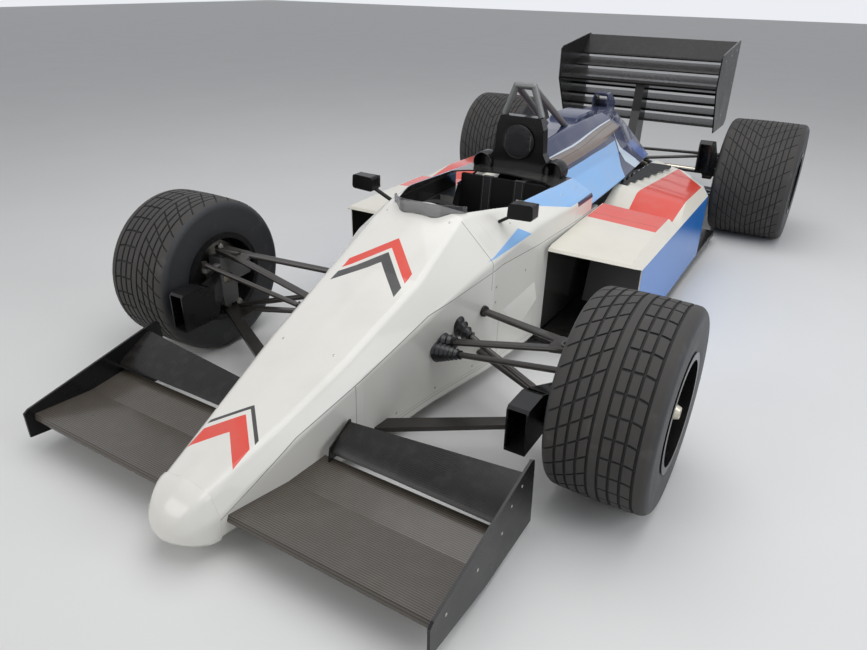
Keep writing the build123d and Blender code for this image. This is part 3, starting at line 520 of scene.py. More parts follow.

# %% [markdown]
# ### Engine cover and pods
# The cover is dark blue above, with a painted reflection in light blue on its lower flank and a
# grey-brown panel between; a painted pale highlight lies where it curves in to its tail. The pods
# are cream on top with a red band and a red hump, and blue on the side below a cream edge.

# %% Cover and pod paint
def cover_paint():
    """Dark blue, with a painted reflection in light blue on the lower flank, a painted pale-blue highlight
    behind it, and a grey-brown trough with a painted highlight line along its top.
    """
    material, shader, place = start_material("cover paint", Coat_Weight=0.3, Coat_Roughness=0.02, IOR=1.5,
                                             Specular_IOR_Level=0.2)
    out, back, high = car_place(place)
    # Painted reflection: the light blue on the lower flank stands for what the glossy dark-blue cover
    # mirrors.
    reflection_top = border_curve(back, [(1.15, 0.616), (1.50, 0.634), (1.86, 0.645)])
    reflection_end = border_curve(high, [(0.46, 1.690), (0.538, 1.758), (0.59, 1.835), (0.66, 1.845)])
    flank_reflection = both(below(high, reflection_top), below(back, reflection_end))
    # Painted highlight: pale blue laid on where the cover curves in to its narrower tail.
    highlight_front = border_curve(high, [(0.46, 2.02), (0.51, 1.905), (0.545, 1.850), (0.60, 1.855),
                                      (0.65, 1.862)])
    highlight_end = border_curve(high, [(0.46, 2.09), (0.527, 2.006), (0.605, 1.888), (0.65, 1.866)])
    pale_highlight = both(above(back, highlight_front), below(back, highlight_end), above(out, 0.15))
    patch = both(between(sloped(back, high, -1.2), 2.73, 2.86), between(high, 0.50, 0.60))
    trough_low = border_curve(back, [(1.15, 0.632), (1.64, 0.660), (1.98, 0.686)])
    trough_high = border_curve(back, [(1.15, 0.671), (1.51, 0.690), (1.82, 0.710), (1.98, 0.718)])
    under_high = minus(trough_high, high)
    on_side = both(between(back, 1.15, 1.975, 0.001), above(out, 0.1))
    trough = both(above(high, trough_low), above(under_high, 0), on_side)
    # Painted highlight: a thin pale line just above the trough's upper edge.
    line = both(between(under_high, -0.0045, -0.0012), on_side)
    seam = both(between(under_high, 0.007, 0.0085), on_side)
    foot = border_curve(back, [(1.15, 0.503), (1.675, 0.497), (2.44, 0.475)])
    low_rear = both(below(high, foot), above(back, 1.72))
    colour = painted(
        NAVY, (flank_reflection, LIGHT_BLUE), (patch, (0.02, 0.09, 0.36, 1)), (pale_highlight, (0.55, 0.68, 0.80, 1)),
        (trough, (0.155, 0.115, 0.095, 1)), (line, (0.55, 0.62, 0.68, 1)), (seam, (0.03, 0.025, 0.025, 1)),
        (low_rear, PALE_BLUE), (inner_faces(place, 0.50), INSIDE_BLACK))
    lacquered(shader, place, colour, 0.10)
    return material


def pod_paint():
    """Cream top with a red band and hump, a pale line along the edge, blue side, black inside."""
    material, shader, place = start_material("pod paint", Coat_Weight=0.25, Coat_Roughness=0.03,
                                             Specular_IOR_Level=0.25)
    out, back, high = car_place(place)
    band_front = sloped(back, out, 0.10)
    on_deck = both(between(out, 0.356, 0.652), below(back, 1.345), above(high, 0.39))
    band = times(above(band_front, 1.045), on_deck)
    red_in = border_curve(back, [(1.40, 0.440), (1.61, 0.425), (1.955, 0.447), (2.26, 0.463),
                                 (2.40, 0.470)])
    rear_edge = plus(times(out, 0.8404), times(back, 0.5417))
    hump = both(above(back, 1.36), above(out, red_in), below(out, 0.655),
                below(rear_edge, 1.632), above(high, 0.385))
    thin = times(between(band_front, 1.1140, 1.1175), on_deck)
    edge_line = both(either(below(out, 0.313), above(rear_edge, 1.650)),
                     above(back, 1.66), above(high, 0.39))
    normal = face_normal(place, "True Normal")
    side = both(below(high, 0.396), below(times(normal[1], -1.0), 0.6))
    outward = times(normal[0], calc("SIGN", split(place)[0]))
    inward = calc("LESS_THAN", outward, -0.3)
    ceiling = calc("LESS_THAN", normal[2], -0.3)
    low_floor = both(above(normal[2], 0.3), below(high, 0.3))
    hidden = either(either(inward, ceiling), low_floor)
    colour = painted(CREAM, (either(band, hump), RED), (thin, (0.25, 0.02, 0.02, 1)),
                     (edge_line, PALE_BLUE), (side, MID_BLUE), (hidden, INSIDE_BLACK))
    lacquered(shader, place, colour)
    return material


COVER_PAINT, POD_PAINT = cover_paint(), pod_paint()
print("cover and pod paint ready")


# %% [markdown]
# ## Composite, metal and rubber
# The wings are bare woven composite under lacquer: a twill of flat threads that catches light in
# two directions. Black parts are painted composite, satin and a little dusty. Tubes are steel
# with a dull grey finish, cast parts have a rough skin, and turned parts show fine rings.

# %% Composite and black finishes
def woven_composite(name, dark, light, thread, roughness, coat=0.25, shine=0.35):
    """Twill cloth under lacquer: two thread colours, a bump for each thread, clear coat on top."""
    material, shader, place = start_material(name, Coat_Weight=coat, Coat_Roughness=0.12,
                                             Specular_IOR_Level=shine)
    slanted = add_node("ShaderNodeMapping", {"Vector": place, "Rotation": (0, 0, math.radians(45))})
    weave = use_group(place, WEAVE, Vector=slanted.outputs[0], Thread=thread)
    grain = grain_at(place, 4.0, 400.0)
    cloth = mix_colour(weave["Mask"], dark, light)
    colour = mix_colour(times(grain["Slow"], 0.06), cloth, (0.10, 0.09, 0.08, 1))
    dust = use_group(place, DUST, Scale=26.0, Amount=0.04)["Mask"]
    colour = mix_colour(dust, colour, (0.30, 0.28, 0.25, 1))
    feed(shader, Base_Color=colour, Normal=bump(0.25, 0.0006, weave["Height"]),
         Roughness=plus(roughness, times(grain["Slow"], 0.2)))
    return material


def plain_finish(name, colour, worn, roughness, metal=0.0, coat=0.0, dusty=0.2, fine=500.0, skin=0.1,
                 edge=0.4, shine=0.5):
    """Paint, rubber or metal of one colour: slow change of tone, worn edges, dust and a fine skin."""
    material, shader, place = start_material(name, Metallic=metal, Coat_Weight=coat, Coat_Roughness=0.1,
                                             Specular_IOR_Level=shine)
    grain = grain_at(place, 8.0, fine)
    wear = use_group(place, WEAR, Reach=0.002, Amount=edge)["Mask"]
    dust = use_group(place, DUST, Scale=12.0, Amount=dusty)["Mask"]
    toned = mix_colour(times(grain["Slow"], 0.45), colour, worn)
    rubbed = mix_colour(wear, toned, worn)
    feed(shader, Base_Color=mix_colour(dust, rubbed, (0.27, 0.25, 0.23, 1)),
         Roughness=plus(roughness, times(grain["Slow"], 0.25)),
         Normal=bump(skin, 0.0008, grain["Fine"]))
    return material


def grey(light, blue=None):
    """A colour without tint, or with a little more blue."""
    return light, light, blue or light, 1


WING_WEAVE = woven_composite("wing weave", (0.034, 0.029, 0.024, 1), (0.115, 0.098, 0.080, 1), 0.0024, 0.22)
FLAP_WEAVE = woven_composite("flap weave", grey(0.005), (0.018, 0.016, 0.015, 1), 0.0024, 0.18, 0.12, 0.2)
BLACK_PANEL = plain_finish("black panel", grey(0.004, 0.0045), grey(0.016), 0.16, coat=0.15, dusty=0.02,
                           edge=0.25, shine=0.25)
BLACK_INSIDE = plain_finish("black inside", grey(0.003, 0.0035), grey(0.010), 0.40, dusty=0.01, shine=0.2)
GREY_TUBE = plain_finish("grey tube", (0.028, 0.025, 0.023, 1), (0.10, 0.09, 0.08, 1), 0.20, metal=0.5,
                         coat=0.3, dusty=0.03, shine=0.35)
HOOP_GREY = plain_finish("hoop grey", (0.165, 0.172, 0.170, 1), (0.30, 0.30, 0.29, 1), 0.34, metal=0.6,
                         dusty=0.08)
SILVER = plain_finish("zinc plate", (0.50, 0.49, 0.46, 1), (0.30, 0.28, 0.25, 1), 0.26, metal=1.0, dusty=0.05)
CAST_GREY = plain_finish("cast grey", grey(0.12), (0.26, 0.25, 0.24, 1), 0.45, metal=0.7, fine=220.0,
                         skin=0.35)
HOT_METAL = plain_finish("heat-browned metal", (0.16, 0.10, 0.07, 1), (0.30, 0.22, 0.15, 1), 0.42, metal=0.9)
GLOSS_RUBBER = plain_finish("gloss rubber", grey(0.006, 0.007), grey(0.02), 0.20, coat=0.3, dusty=0.04,
                            shine=0.35)
RIM_BLACK = plain_finish("rim black", grey(0.005, 0.006), grey(0.018), 0.12, coat=0.08, dusty=0.02, edge=0.2,
                         shine=0.15)
print("composite and black finishes ready")


# %% [markdown]
# Turned metal has rings around its axis. The hubs sit on axles that run along x, so the rings
# are waves of the distance from the axle's line, and that distance also tells nut from disc.

# %% Turned metal, glass, lens and cloth
def turned_metal():
    """Rings: fine waves of the distance from the axle line, which lies at two heights and places."""
    material, shader, place = start_material("turned metal", Metallic=1.0)
    x, y, z = split(place)
    rear = calc("GREATER_THAN", y, 0.2)
    dy = minus(y, pick(rear, FRONT_AXLE_Y, REAR_AXLE_Y))
    dz = minus(z, pick(rear, FRONT_RADIUS, REAR_RADIUS))
    radius = calc("SQRT", plus(times(dy, dy), times(dz, dz)))
    rings = calc("SINE", times(plus(radius, x), 5200.0))
    grain = grain_at(place, 20.0, 600.0)
    tone = mix_colour(grain["Slow"], (0.55, 0.50, 0.40, 1), (0.72, 0.68, 0.58, 1))
    disc = between(radius, 0.034, 0.2, 0.001)
    tone = mix_colour(times(disc, 0.8), tone, (0.20, 0.19, 0.18, 1))
    feed(shader, Base_Color=tone, Normal=bump(0.12, 0.0004, rings),
         Roughness=plus(0.22, times(grain["Slow"], 0.2)))
    return material


def tinted_screen():
    """Clear grey plastic with fine speckles, a little cloudy where the slow noise is high."""
    material, shader, place = start_material("tinted screen", Transmission_Weight=0.85, IOR=1.45)
    grain = grain_at(place, 12.0, 700.0)
    tone = mix_colour(grain["Fine"], (0.22, 0.22, 0.23, 1), (0.42, 0.42, 0.43, 1))
    feed(shader, Base_Color=tone, Roughness=times(grain["Slow"], 0.25))
    return material


def red_lens():
    """Moulded lens: small square prisms seen through red plastic, with painted light on their tops and
    painted shade in the hollows between them.
    """
    material, shader, place = start_material("red lens", Coat_Weight=1.0, Coat_Roughness=0.05, IOR=1.5)
    x, _, z = split(place)
    prisms = plus(calc("PINGPONG", x, 0.004), calc("PINGPONG", z, 0.004))
    # Painted light and shade: lighter red on the prism tops, darker red in the hollows.
    depth = step_up(prisms, 0.0, 0.008)
    tone = mix_colour(depth, (0.16, 0.004, 0.004, 1), (0.50, 0.02, 0.015, 1))
    feed(shader, Base_Color=tone, Normal=bump(0.5, 0.003, prisms))
    return material


def webbing():
    """Woven belt with a row of pale stitches along each edge."""
    material, shader, place = start_material("black webbing", Roughness=0.75, Sheen_Weight=0.1,
                                             Specular_IOR_Level=0.3)
    weave = use_group(place, WEAVE, Vector=place, Thread=0.0016)
    colour = mix_colour(weave["Mask"], (0.006, 0.006, 0.007, 1), (0.020, 0.020, 0.022, 1))
    out, back, high = car_place(place)
    off_middle = calc("ABSOLUTE", minus(out, 0.078))
    dashes = calc("GREATER_THAN", calc("PINGPONG", plus(high, back), 0.003), 0.0012)
    stitches = both(between(off_middle, 0.0165, 0.0180, 0.0003), dashes)
    colour = mix_colour(times(stitches, 0.7), colour, (0.30, 0.29, 0.27, 1))
    feed(shader, Base_Color=colour, Normal=bump(0.5, 0.0006, weave["Height"]))
    return material


TURNED, SCREEN, LENS, WEBBING = turned_metal(), tinted_screen(), red_lens(), webbing()
print("turned metal, glass, lens and webbing ready")

# %% [markdown]
# ## Which solid gets which finish
# One table names the solids of every finish, so nothing stays plain. Left and right share a name.

# %% Finishes by solid
FINISHES = (
    (BODY_PAINT, "nose_cap nose_shell nose_box monocoque cockpit_surround"),
    (COVER_PAINT, "engine_cover tail_scoop"), (POD_PAINT, "sidepod"), (WING_WEAVE, "front_wing"),
    (FLAP_WEAVE, "front_flaps rear_wing_planes rear_wing_slats floor"),
    (BLACK_PANEL, "front_endplates rear_endplates rear_wing_post brake_duct_front rear_brake_ducts headrest"),
    (GREY_TUBE, "front_wishbones rear_wishbones front_pushrods rear_pushrods track_rods"),
    (CAST_GREY, "upright_front rear_uprights engine gearbox radiators"), (HOT_METAL, "turbochargers"),
    (GLOSS_RUBBER, "gaiters tyre"), (RIM_BLACK, "rim mirrors"), (TURNED, "hub"), (HOOP_GREY, "roll_hoop"),
    (WEBBING, "headrest_pad harness"), (BLACK_INSIDE, "seat dashboard steering_wheel"),
    (SCREEN, "windscreen"), (LENS, "rain_light"),
)
FINISH_OF = {solid: finish for finish, solids in FINISHES for solid in solids.split()}


def finish_of(name):
    """The finish of a solid, looked up by its name, or by its name without side and axle."""
    for ending in ("", "_left", "_right", "_front_left", "_front_right", "_rear_left", "_rear_right"):
        if name.removesuffix(ending) in FINISH_OF:
            return FINISH_OF[name.removesuffix(ending)]
    raise KeyError(name)


for name, solid in nodes.items():
    solid.data.materials.clear()
    solid.data.materials.append(finish_of(name))
print("finished solids:", len(nodes))


# %% [markdown]
# ## Tyres
# Rain tyres are cut all over. A tyre is a closed section carried round the axle, so its surface is
# a grid of section point by angle. Grooves that run round lower whole rows of the grid; cross
# grooves lower single cells, and a lean per section point slants them. Setting grid lines exactly
# at each groove's lips keeps them sharp with few faces.

# %% A ring from a section
def ring_mesh(name, points):
    """Mesh from points[angle, section]: each cell of the grid is a face, and both ways close."""
    turns, steps = points.shape[:2]
    index = np.arange(turns * steps).reshape(turns, steps)
    onward, across = np.roll(index, -1, 0), np.roll(index, -1, 1)
    both_ways = np.roll(onward, -1, 1)
    faces = np.stack([index, across, both_ways, onward], -1).reshape(-1, 4)
    mesh = bpy.data.meshes.new(name)
    mesh.from_pydata(points.reshape(-1, 3).tolist(), [], faces.tolist())
    mesh.update()
    return mesh


def finish_mesh(name, mesh, material, body, angle=35, replaced=()):
    """Merges doubles, turns faces outward, smooths below an angle, hangs the piece on its body."""
    work = bmesh.new()
    work.from_mesh(mesh)
    bmesh.ops.remove_doubles(work, verts=work.verts, dist=1e-6)
    bmesh.ops.recalc_face_normals(work, faces=work.faces)
    work.to_mesh(mesh)
    work.free()
    mesh.shade_smooth()
    mesh.set_sharp_from_angle(angle=math.radians(angle))
    mesh.materials.append(material)
    piece = bpy.data.objects.new(name, mesh)
    bpy.context.scene.collection.objects.link(piece)
    if body:
        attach(piece, body)
    if replaced:
        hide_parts(*replaced)
    return piece


def groove_lips(centres, width, lip):
    """Section places of the grooves that run round: lip, bottom, bottom, lip for each centre."""
    offsets = np.array([-width / 2 - lip, -width / 2, width / 2, width / 2 + lip])
    return (np.asarray(centres)[:, None] + offsets).ravel()


print("ring helpers ready")

# %% [markdown]
# Two numbers are kept at each point of a tyre: whether it lies in a groove, and whether it lies on
# the sidewall. The rubber reads them to darken the grooves as painted shade and to make the
# sidewalls smoother.

# %% Tread rubber
def stored_number(place, label):
    """A number that a mesh keeps at each of its points."""
    node = place.id_data.nodes.new("ShaderNodeAttribute")
    node.attribute_name = label
    return node.outputs["Fac"]


def tread_rubber():
    """Rubber: matt where it has run, painted shade in the grooves, smoother and bluish on the sidewalls."""
    material, shader, place = start_material("tread rubber", IOR=1.45)
    grain = grain_at(place, 14.0, 700.0)
    groove_shade, wall = stored_number(place, "groove"), stored_number(place, "sidewall")
    tread = mix_colour(grain["Slow"], (0.034, 0.032, 0.030, 1), (0.062, 0.058, 0.054, 1))
    tone = mix_colour(wall, tread, (0.026, 0.027, 0.030, 1))
    scuffs = step_up(grain["Slow"], 0.58, 0.75)
    tone = mix_colour(times(scuffs, 0.35), tone, (0.11, 0.105, 0.10, 1))
    # Painted shade: the grooves are darkened to near black.
    tone = mix_colour(times(groove_shade, 0.8), tone, (0.008, 0.008, 0.008, 1))
    rough = pick(wall, 0.62, 0.40)
    feed(shader, Base_Color=tone, Normal=bump(0.25, 0.0008, grain["Fine"]),
         Roughness=plus(rough, times(grain["Slow"], 0.2)))
    return material


RUBBER = tread_rubber()
BEAD, SHOULDER, CROWN, GROOVE_LIP = 0.165, 0.030, 0.003, 0.0012


def tyre_section(radius, half, tread_edges, lip=0.0054):
    """Half-open section of a tyre as (offset, radius): heel, sidewall with two raised rings,
    shoulder arc, tread with a slight crown; mirrored for the other side."""
    heel, edge, ring = half - lip, half - SHOULDER, BEAD + 0.016
    wall = [(heel - 0.004, BEAD + 0.0005), (heel, BEAD + 0.004), (heel, ring)]
    rise = np.linspace(0.10, 0.72, 8)
    bulge = np.sin(np.pi * np.clip(rise * 1.05, 0, 1)) ** 0.6
    wall += [(heel + (half - 0.0005 - heel) * b, ring + (radius - SHOULDER - ring) * r)
             for r, b in zip(rise, bulge)]
    wall += [(edge + (SHOULDER - 0.001) * np.cos(a), radius - CROWN - SHOULDER + SHOULDER * np.sin(a))
             for a in np.radians(np.linspace(0, 78, 7))]
    crown = [(x, radius - CROWN * (abs(x) / edge) ** 2) for x in tread_edges if abs(x) < edge]
    other_wall = [(-x, r) for x, r in reversed(wall)]
    return np.array(wall + sorted(crown, key=lambda p: -p[0]) + other_wall)


def cut_tyre(name, centre, side, radius, half, rings, slits, pitches, slit_lips, lean, replaced, body):
    """A tyre with its tread: rings are (places, width, depth) of grooves that run round, slits are
    rows (from, to, depth) cut across, lean turns a section place into an angle."""
    groove_places, width, depth = rings
    places = list(groove_lips(groove_places, width, GROOVE_LIP))
    for low, high, _ in slits:
        places += list(np.linspace(low, high, 5))
    section = tyre_section(radius, half, sorted(set(np.round(places, 5))))
    offset, height = section[:, 0], section[:, 1]
    on_tread = height > radius - 0.02
    in_ring = (np.abs(offset[:, None] - np.asarray(groove_places)).min(1) < width / 2 + 1e-5) & on_tread
    turn = (np.arange(pitches)[:, None] + slit_lips).ravel() / pitches * 2 * np.pi
    bottom = np.tile(np.array([0, 1, 1, 0] + [0] * (len(slit_lips) - 4), bool), pitches)
    cut = np.zeros((len(turn), len(offset)))
    for low, high, slit_depth in slits:
        row = (offset > low - 1e-6) & (offset < high + 1e-6) & on_tread
        cut = np.maximum(cut, bottom[:, None] * row[None, :] * slit_depth)
    cut = np.maximum(cut, in_ring[None, :] * depth)
    r = height[None, :] - cut
    angle = turn[:, None] + lean(offset)[None, :] * (height > radius - 0.03)[None, :]
    points = np.stack([centre[0] + side * np.broadcast_to(offset, r.shape),
                       centre[1] + r * np.cos(angle), centre[2] + r * np.sin(angle)], -1)
    mesh = ring_mesh(name, points)
    groove = (cut > 0.0005).astype(np.float32)
    sidewall = np.broadcast_to((height < radius - 0.012).astype(np.float32), cut.shape)
    for label, values in (("groove", groove), ("sidewall", sidewall)):
        attribute = mesh.attributes.new(label, "FLOAT", "POINT")
        attribute.data.foreach_set("value", np.ascontiguousarray(values, dtype=np.float32).ravel())
    return finish_mesh(name, mesh, RUBBER, body, 30, replaced)


print("tread rubber:", RUBBER.name)

# %% [markdown]
# Front tyres have a plain rib round the middle, three rows of blocks outside it and four inside.
# Their cross cuts are straight outside and slanted inside. Rear tyres have a dozen fine rings and
# cuts in a V.

# %% Cut the four tyres
FRONT_RINGS = ([-0.104, -0.074, -0.044, -0.014, 0.016, 0.046, 0.076, 0.108], 0.0062, 0.0060)
FRONT_SLITS = [(-0.136, -0.107, 0.004), (-0.101, -0.077, 0.005), (-0.071, -0.047, 0.005),
               (-0.041, -0.017, 0.005), (0.020, 0.043, 0.005), (0.049, 0.073, 0.005),
               (0.079, 0.104, 0.005)]
FRONT_LIPS, REAR_LIPS = (0, 0.02, 0.105, 0.125, 0.40, 0.70), (0, 0.013, 0.055, 0.068, 0.30, 0.53, 0.77)
REAR_RINGS = (list(np.round(np.linspace(-0.150, 0.150, 12), 4)), 0.0036, 0.005)
REAR_SLITS = [(-0.176, -0.004, 0.004), (0.004, 0.176, 0.004)]


def front_lean(offset):
    """Inner half slants by 37 degrees, outer half runs straight and curls back at the shoulder."""
    inner = np.where(offset < 0, -offset * 0.75 / FRONT_RADIUS, 0.0)
    return inner + np.where(offset > 0.07, (offset - 0.07) ** 2 * 18, 0.0)


def rear_lean(offset):
    """A V: both halves slant away from the middle."""
    return -np.abs(offset) * 0.8 / REAR_RADIUS


for side_name, side in (("left", 1), ("right", -1)):
    for axle, radius, half, rings, slits, pitches, lips, lean in (
        ("front", FRONT_RADIUS, 0.150, FRONT_RINGS, FRONT_SLITS, 32, FRONT_LIPS, front_lean),
        ("rear", REAR_RADIUS, 0.2065, REAR_RINGS, REAR_SLITS, 26, REAR_LIPS, rear_lean),
    ):
        solid = "tyre_%s_%s" % (axle, side_name)
        low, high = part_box(solid)
        piece = cut_tyre("cut_" + solid, (low + high) / 2, side, radius, half, rings, slits, pitches,
                         lips, lean, (solid,), "wheel_%s_%s" % (axle, side_name))
        print(piece.name, len(piece.data.polygons), "faces")

# %% [markdown]
# ## Pieces made from sections
# A wing, a blade or a moulded cover is easiest to describe by the outline it has at a few places,
# with straight lines between them. Plates that tie several round bosses together are the tight
# skin round thin discs, as a band pulled round them would lie. Most pieces are made for the car's
# left and mirrored, because both sides of a racing car are alike.

# %% Loft, slab, hull and turned solid
def spot(x, station, height):
    """A place as on a drawing of the car, in metres; the station counts back from the front axle."""
    return np.array([x, station + FRONT_AXLE_Y, height])


def toward(start, end, reach):
    """The place that lies reach metres from start on the way to end."""
    return start + (end - start) * reach / np.linalg.norm(end - start)


def loft(sections):
    """Closed solid through sections[place, point]: quads between neighbours, a flat cap at each end."""
    sections = np.asarray(sections, float)
    index = np.arange(sections[..., 0].size).reshape(sections.shape[:2])
    near, far = index[:-1], index[1:]
    quads = np.stack([near, np.roll(near, -1, 1), np.roll(far, -1, 1), far], -1).reshape(-1, 4)
    return sections.reshape(-1, 3), quads.tolist() + [index[0][::-1].tolist(), index[-1].tolist()]


def slab(x_from, x_to, outline_from, outline_to=None):
    """Solid between two outlines of (station, height), each at its distance from the middle plane."""
    pair = ((x_from, outline_from), (x_to, outline_to or outline_from))
    return loft([[spot(x, station, height) for station, height in outline] for x, outline in pair])


def hull(discs, thickness):
    """The convex hull of the two rims of each disc; discs are (centre, radius) in one plane."""
    centres = [Vector(centre) for centre, _ in discs]
    normal = (centres[1] - centres[0]).cross(centres[2] - centres[0]).normalized()
    aside = (centres[1] - centres[0]).normalized()
    onward = normal.cross(aside)
    turn = np.linspace(0, 2 * np.pi, 20, endpoint=False)
    ring = np.cos(turn)[:, None] * np.array(aside) + np.sin(turn)[:, None] * np.array(onward)
    rims = [np.asarray(centre) + radius * ring + lift * np.array(normal)
            for centre, radius in discs for lift in (-thickness / 2, thickness / 2)]
    cloud = bpy.data.meshes.new("rims")
    cloud.from_pydata(np.concatenate(rims).tolist(), [], [])
    work = bmesh.new()
    work.from_mesh(cloud)
    bpy.data.meshes.remove(cloud)
    result = bmesh.ops.convex_hull(work, input=work.verts)
    left_over = set(result["geom_interior"] + result["geom_unused"])
    bmesh.ops.delete(work, geom=[part for part in left_over if isinstance(part, bmesh.types.BMVert)],
                     context="VERTS")
    work.verts.index_update()
    solid = (np.array([v.co for v in work.verts]), [[v.index for v in face.verts] for face in work.faces])
    work.free()
    return solid


def turned(start, end, profile, steps=24):
    """Solid of revolution from start to end: profile is (share of the way, radius)."""
    start, end = np.asarray(start, float), np.asarray(end, float)
    axis = (end - start) / np.linalg.norm(end - start)
    aside = np.cross(axis, (0.0, 0.0, 1.0) if abs(axis[2]) < 0.9 else (1.0, 0.0, 0.0))
    aside /= np.linalg.norm(aside)
    turn = np.linspace(0, 2 * np.pi, steps, endpoint=False)
    ring = np.cos(turn)[:, None] * aside + np.sin(turn)[:, None] * np.cross(axis, aside)
    return loft([start + (end - start) * share + radius * ring for share, radius in profile])


def joined(name, solids, mirror=True):
    """One mesh from several solids, with their mirror images on the car's right."""
    places, faces, count = [], [], 0
    for points, polygons in solids:
        for sign in ((1, -1) if mirror else (1,)):
            places.append(points * (sign, 1, 1))
            faces += [[i + count for i in polygon] for polygon in polygons]
            count += len(points)
    mesh = bpy.data.meshes.new(name)
    mesh.from_pydata(np.concatenate(places).tolist(), [], faces)
    mesh.update()
    return mesh


def add_piece(name, solids, material, angle=35, replaced=(), mirror=True, body="chassis"):
    """Makes one finished piece from solids and says how many faces it has."""
    piece = finish_mesh(name, joined(name, solids, mirror), material, body, angle, replaced)
    print(name, len(piece.data.polygons), "faces")
    return piece


print("section helpers ready")

# %% [markdown]
# The flaps of the front wing start at a dark fence beside the nose, are broader outside than
# inside, and have a second, lower blade under the slot.

# %% Front flaps
FLAP_ROOT, FENCE_WIDTH = 0.200, 0.004
FLAP_INNER = [(-0.515, 0.160), (-0.505, 0.157), (-0.470, 0.184), (-0.422, 0.211), (-0.425, 0.216),
              (-0.470, 0.197), (-0.508, 0.171)]
FLAP_OUTER = [(-0.522, 0.158), (-0.512, 0.156), (-0.455, 0.192), (-0.382, 0.231), (-0.385, 0.236),
              (-0.450, 0.205), (-0.515, 0.170)]
UNDER_FLAP = [(-0.500, 0.142), (-0.495, 0.136), (-0.418, 0.172), (-0.420, 0.176), (-0.494, 0.150)]
FLAP_FENCE = [(-0.528, 0.134), (-0.480, 0.134), (-0.414, 0.168), (-0.418, 0.220), (-0.426, 0.222),
              (-0.520, 0.178)]
wing_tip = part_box("front_flaps")[1].x
flap_solids = [slab(FLAP_ROOT, wing_tip, FLAP_INNER, FLAP_OUTER), slab(FLAP_ROOT, wing_tip, UNDER_FLAP),
               slab(FLAP_ROOT - FENCE_WIDTH, FLAP_ROOT, FLAP_FENCE)]
add_piece("shaped_front_flaps", flap_solids, FLAP_WEAVE, 30, ("front_flaps",))

# %% [markdown]
# Each pair of front suspension arms closes in a flat plate at the wheel end, with a raised eye on
# the upper one. The forward lower arm is a broad blade. The plates are skins round three discs.

# %% Plates of the suspension arms
UPPER_JOINT, LOWER_JOINT = spot(0.750, 0, 0.424), spot(0.750, 0, 0.170)
UPPER_ENDS = (spot(0.230, 0.027, 0.289), spot(0.286, 0.249, 0.328))
LOWER_ENDS = (spot(0.186, -0.285, 0.112), spot(0.276, 0.242, 0.168))
PLATE_REACH, PLATE_THICK, BLADE_THICK, BLADE_SPREAD = 0.110, 0.0164, 0.0168, 0.010

arm_plates = []
for joint, ends in ((UPPER_JOINT, UPPER_ENDS), (LOWER_JOINT, LOWER_ENDS)):
    inner_discs = [(toward(joint, end, PLATE_REACH), 0.013) for end in ends]
    arm_plates.append(hull([(joint, 0.024)] + inner_discs, PLATE_THICK))
blade_start, blade_end = (toward(LOWER_JOINT, LOWER_ENDS[0], reach) for reach in (0.060, 0.620))
beside = np.cross(blade_end - blade_start, (0, 0, 1.0))
beside *= BLADE_SPREAD / np.linalg.norm(beside)
blade_discs = [(blade_start, 0.020), (blade_end, 0.026), (blade_end + beside, 0.018)]
arm_plates.append(hull(blade_discs, BLADE_THICK))
eye = toward(UPPER_JOINT, (UPPER_ENDS[0] + UPPER_ENDS[1]) / 2, 0.066)
EYE_PROFILE = [(0, 0.020), (1, 0.020), (1, 0.0135), (0.4, 0.0135)]
arm_plates.append(turned(eye - (0, 0, 0.004), eye + (0, 0, 0.0095), EYE_PROFILE))
add_piece("front_arm_plates", arm_plates, GREY_TUBE, 30)

# %% [markdown]
# The rubber boots are bellows: a row of folds that lets a rod move while keeping dirt out. The
# radius swings between a wide and a narrow value, and both shrink toward the rod. The boot of the
# track rod has its foot on the tub and its tip on the rod.

# %% Bellows
def bellows(foot, tip, folds, wide, narrow, shrink=0.55):
    """Radius along the boot: a zigzag of folds, narrowing evenly to the tip."""
    share = np.linspace(0, 1, 2 * folds + 1)
    taper = 1 - (1 - shrink) * share
    radius = np.where(np.arange(2 * folds + 1) % 2 == 0, wide, narrow) * taper
    ends = [(0, radius[0] * 0.6)], [(1, radius[-1] * 0.5)]
    return turned(foot, tip, ends[0] + list(zip(share, radius)) + ends[1], 28)


PUSHROD_ENDS = (spot(0.688, 0.006, 0.196), spot(0.246, 0.116, 0.321))
RACK_END, ROD_END = spot(0.205, 0.007, 0.257), spot(0.734, -0.104, 0.398)
COLLAR = [(0, 0.021), (0.8, 0.021), (1, 0.018)]
foot, tip = (toward(PUSHROD_ENDS[1], PUSHROD_ENDS[0], reach) for reach in (-0.014, 0.080))
boots = [bellows(foot, tip, 4, 0.045, 0.034, 0.42)]
foot, tip = (toward(UPPER_ENDS[0], UPPER_JOINT, reach) for reach in (-0.006, 0.074))
boots.append(bellows(foot, tip, 4, 0.040, 0.030, 0.5))
foot, tip = (toward(UPPER_ENDS[1], UPPER_JOINT, reach) for reach in (-0.01, 0.016))
boots.append(turned(foot, tip, COLLAR))
add_piece("folded_boots", boots, GLOSS_RUBBER, 40, ("gaiters",))

foot, tip = (toward(RACK_END, ROD_END, reach) for reach in (0.048, 0.150))
points, faces = bellows(foot, tip, 6, 0.037, 0.027, 0.42)
for side_name, sign in (("left", 1), ("right", -1)):
    boot = add_piece("track_rod_boot_" + side_name, [(points * (sign, 1, 1), faces)], GLOSS_RUBBER,
                     40, mirror=False, body=None)
    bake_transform(boot)

# %% [markdown]
# ### Pod covers
# A pod cover is one thin moulding: a flat deck in front, a dip with an opening for pipes, a raised
# hump behind it, a slanted edge and an upright side. As a grid its rows run back along the car
# and its columns run outward, so each row is given by where it starts and ends.

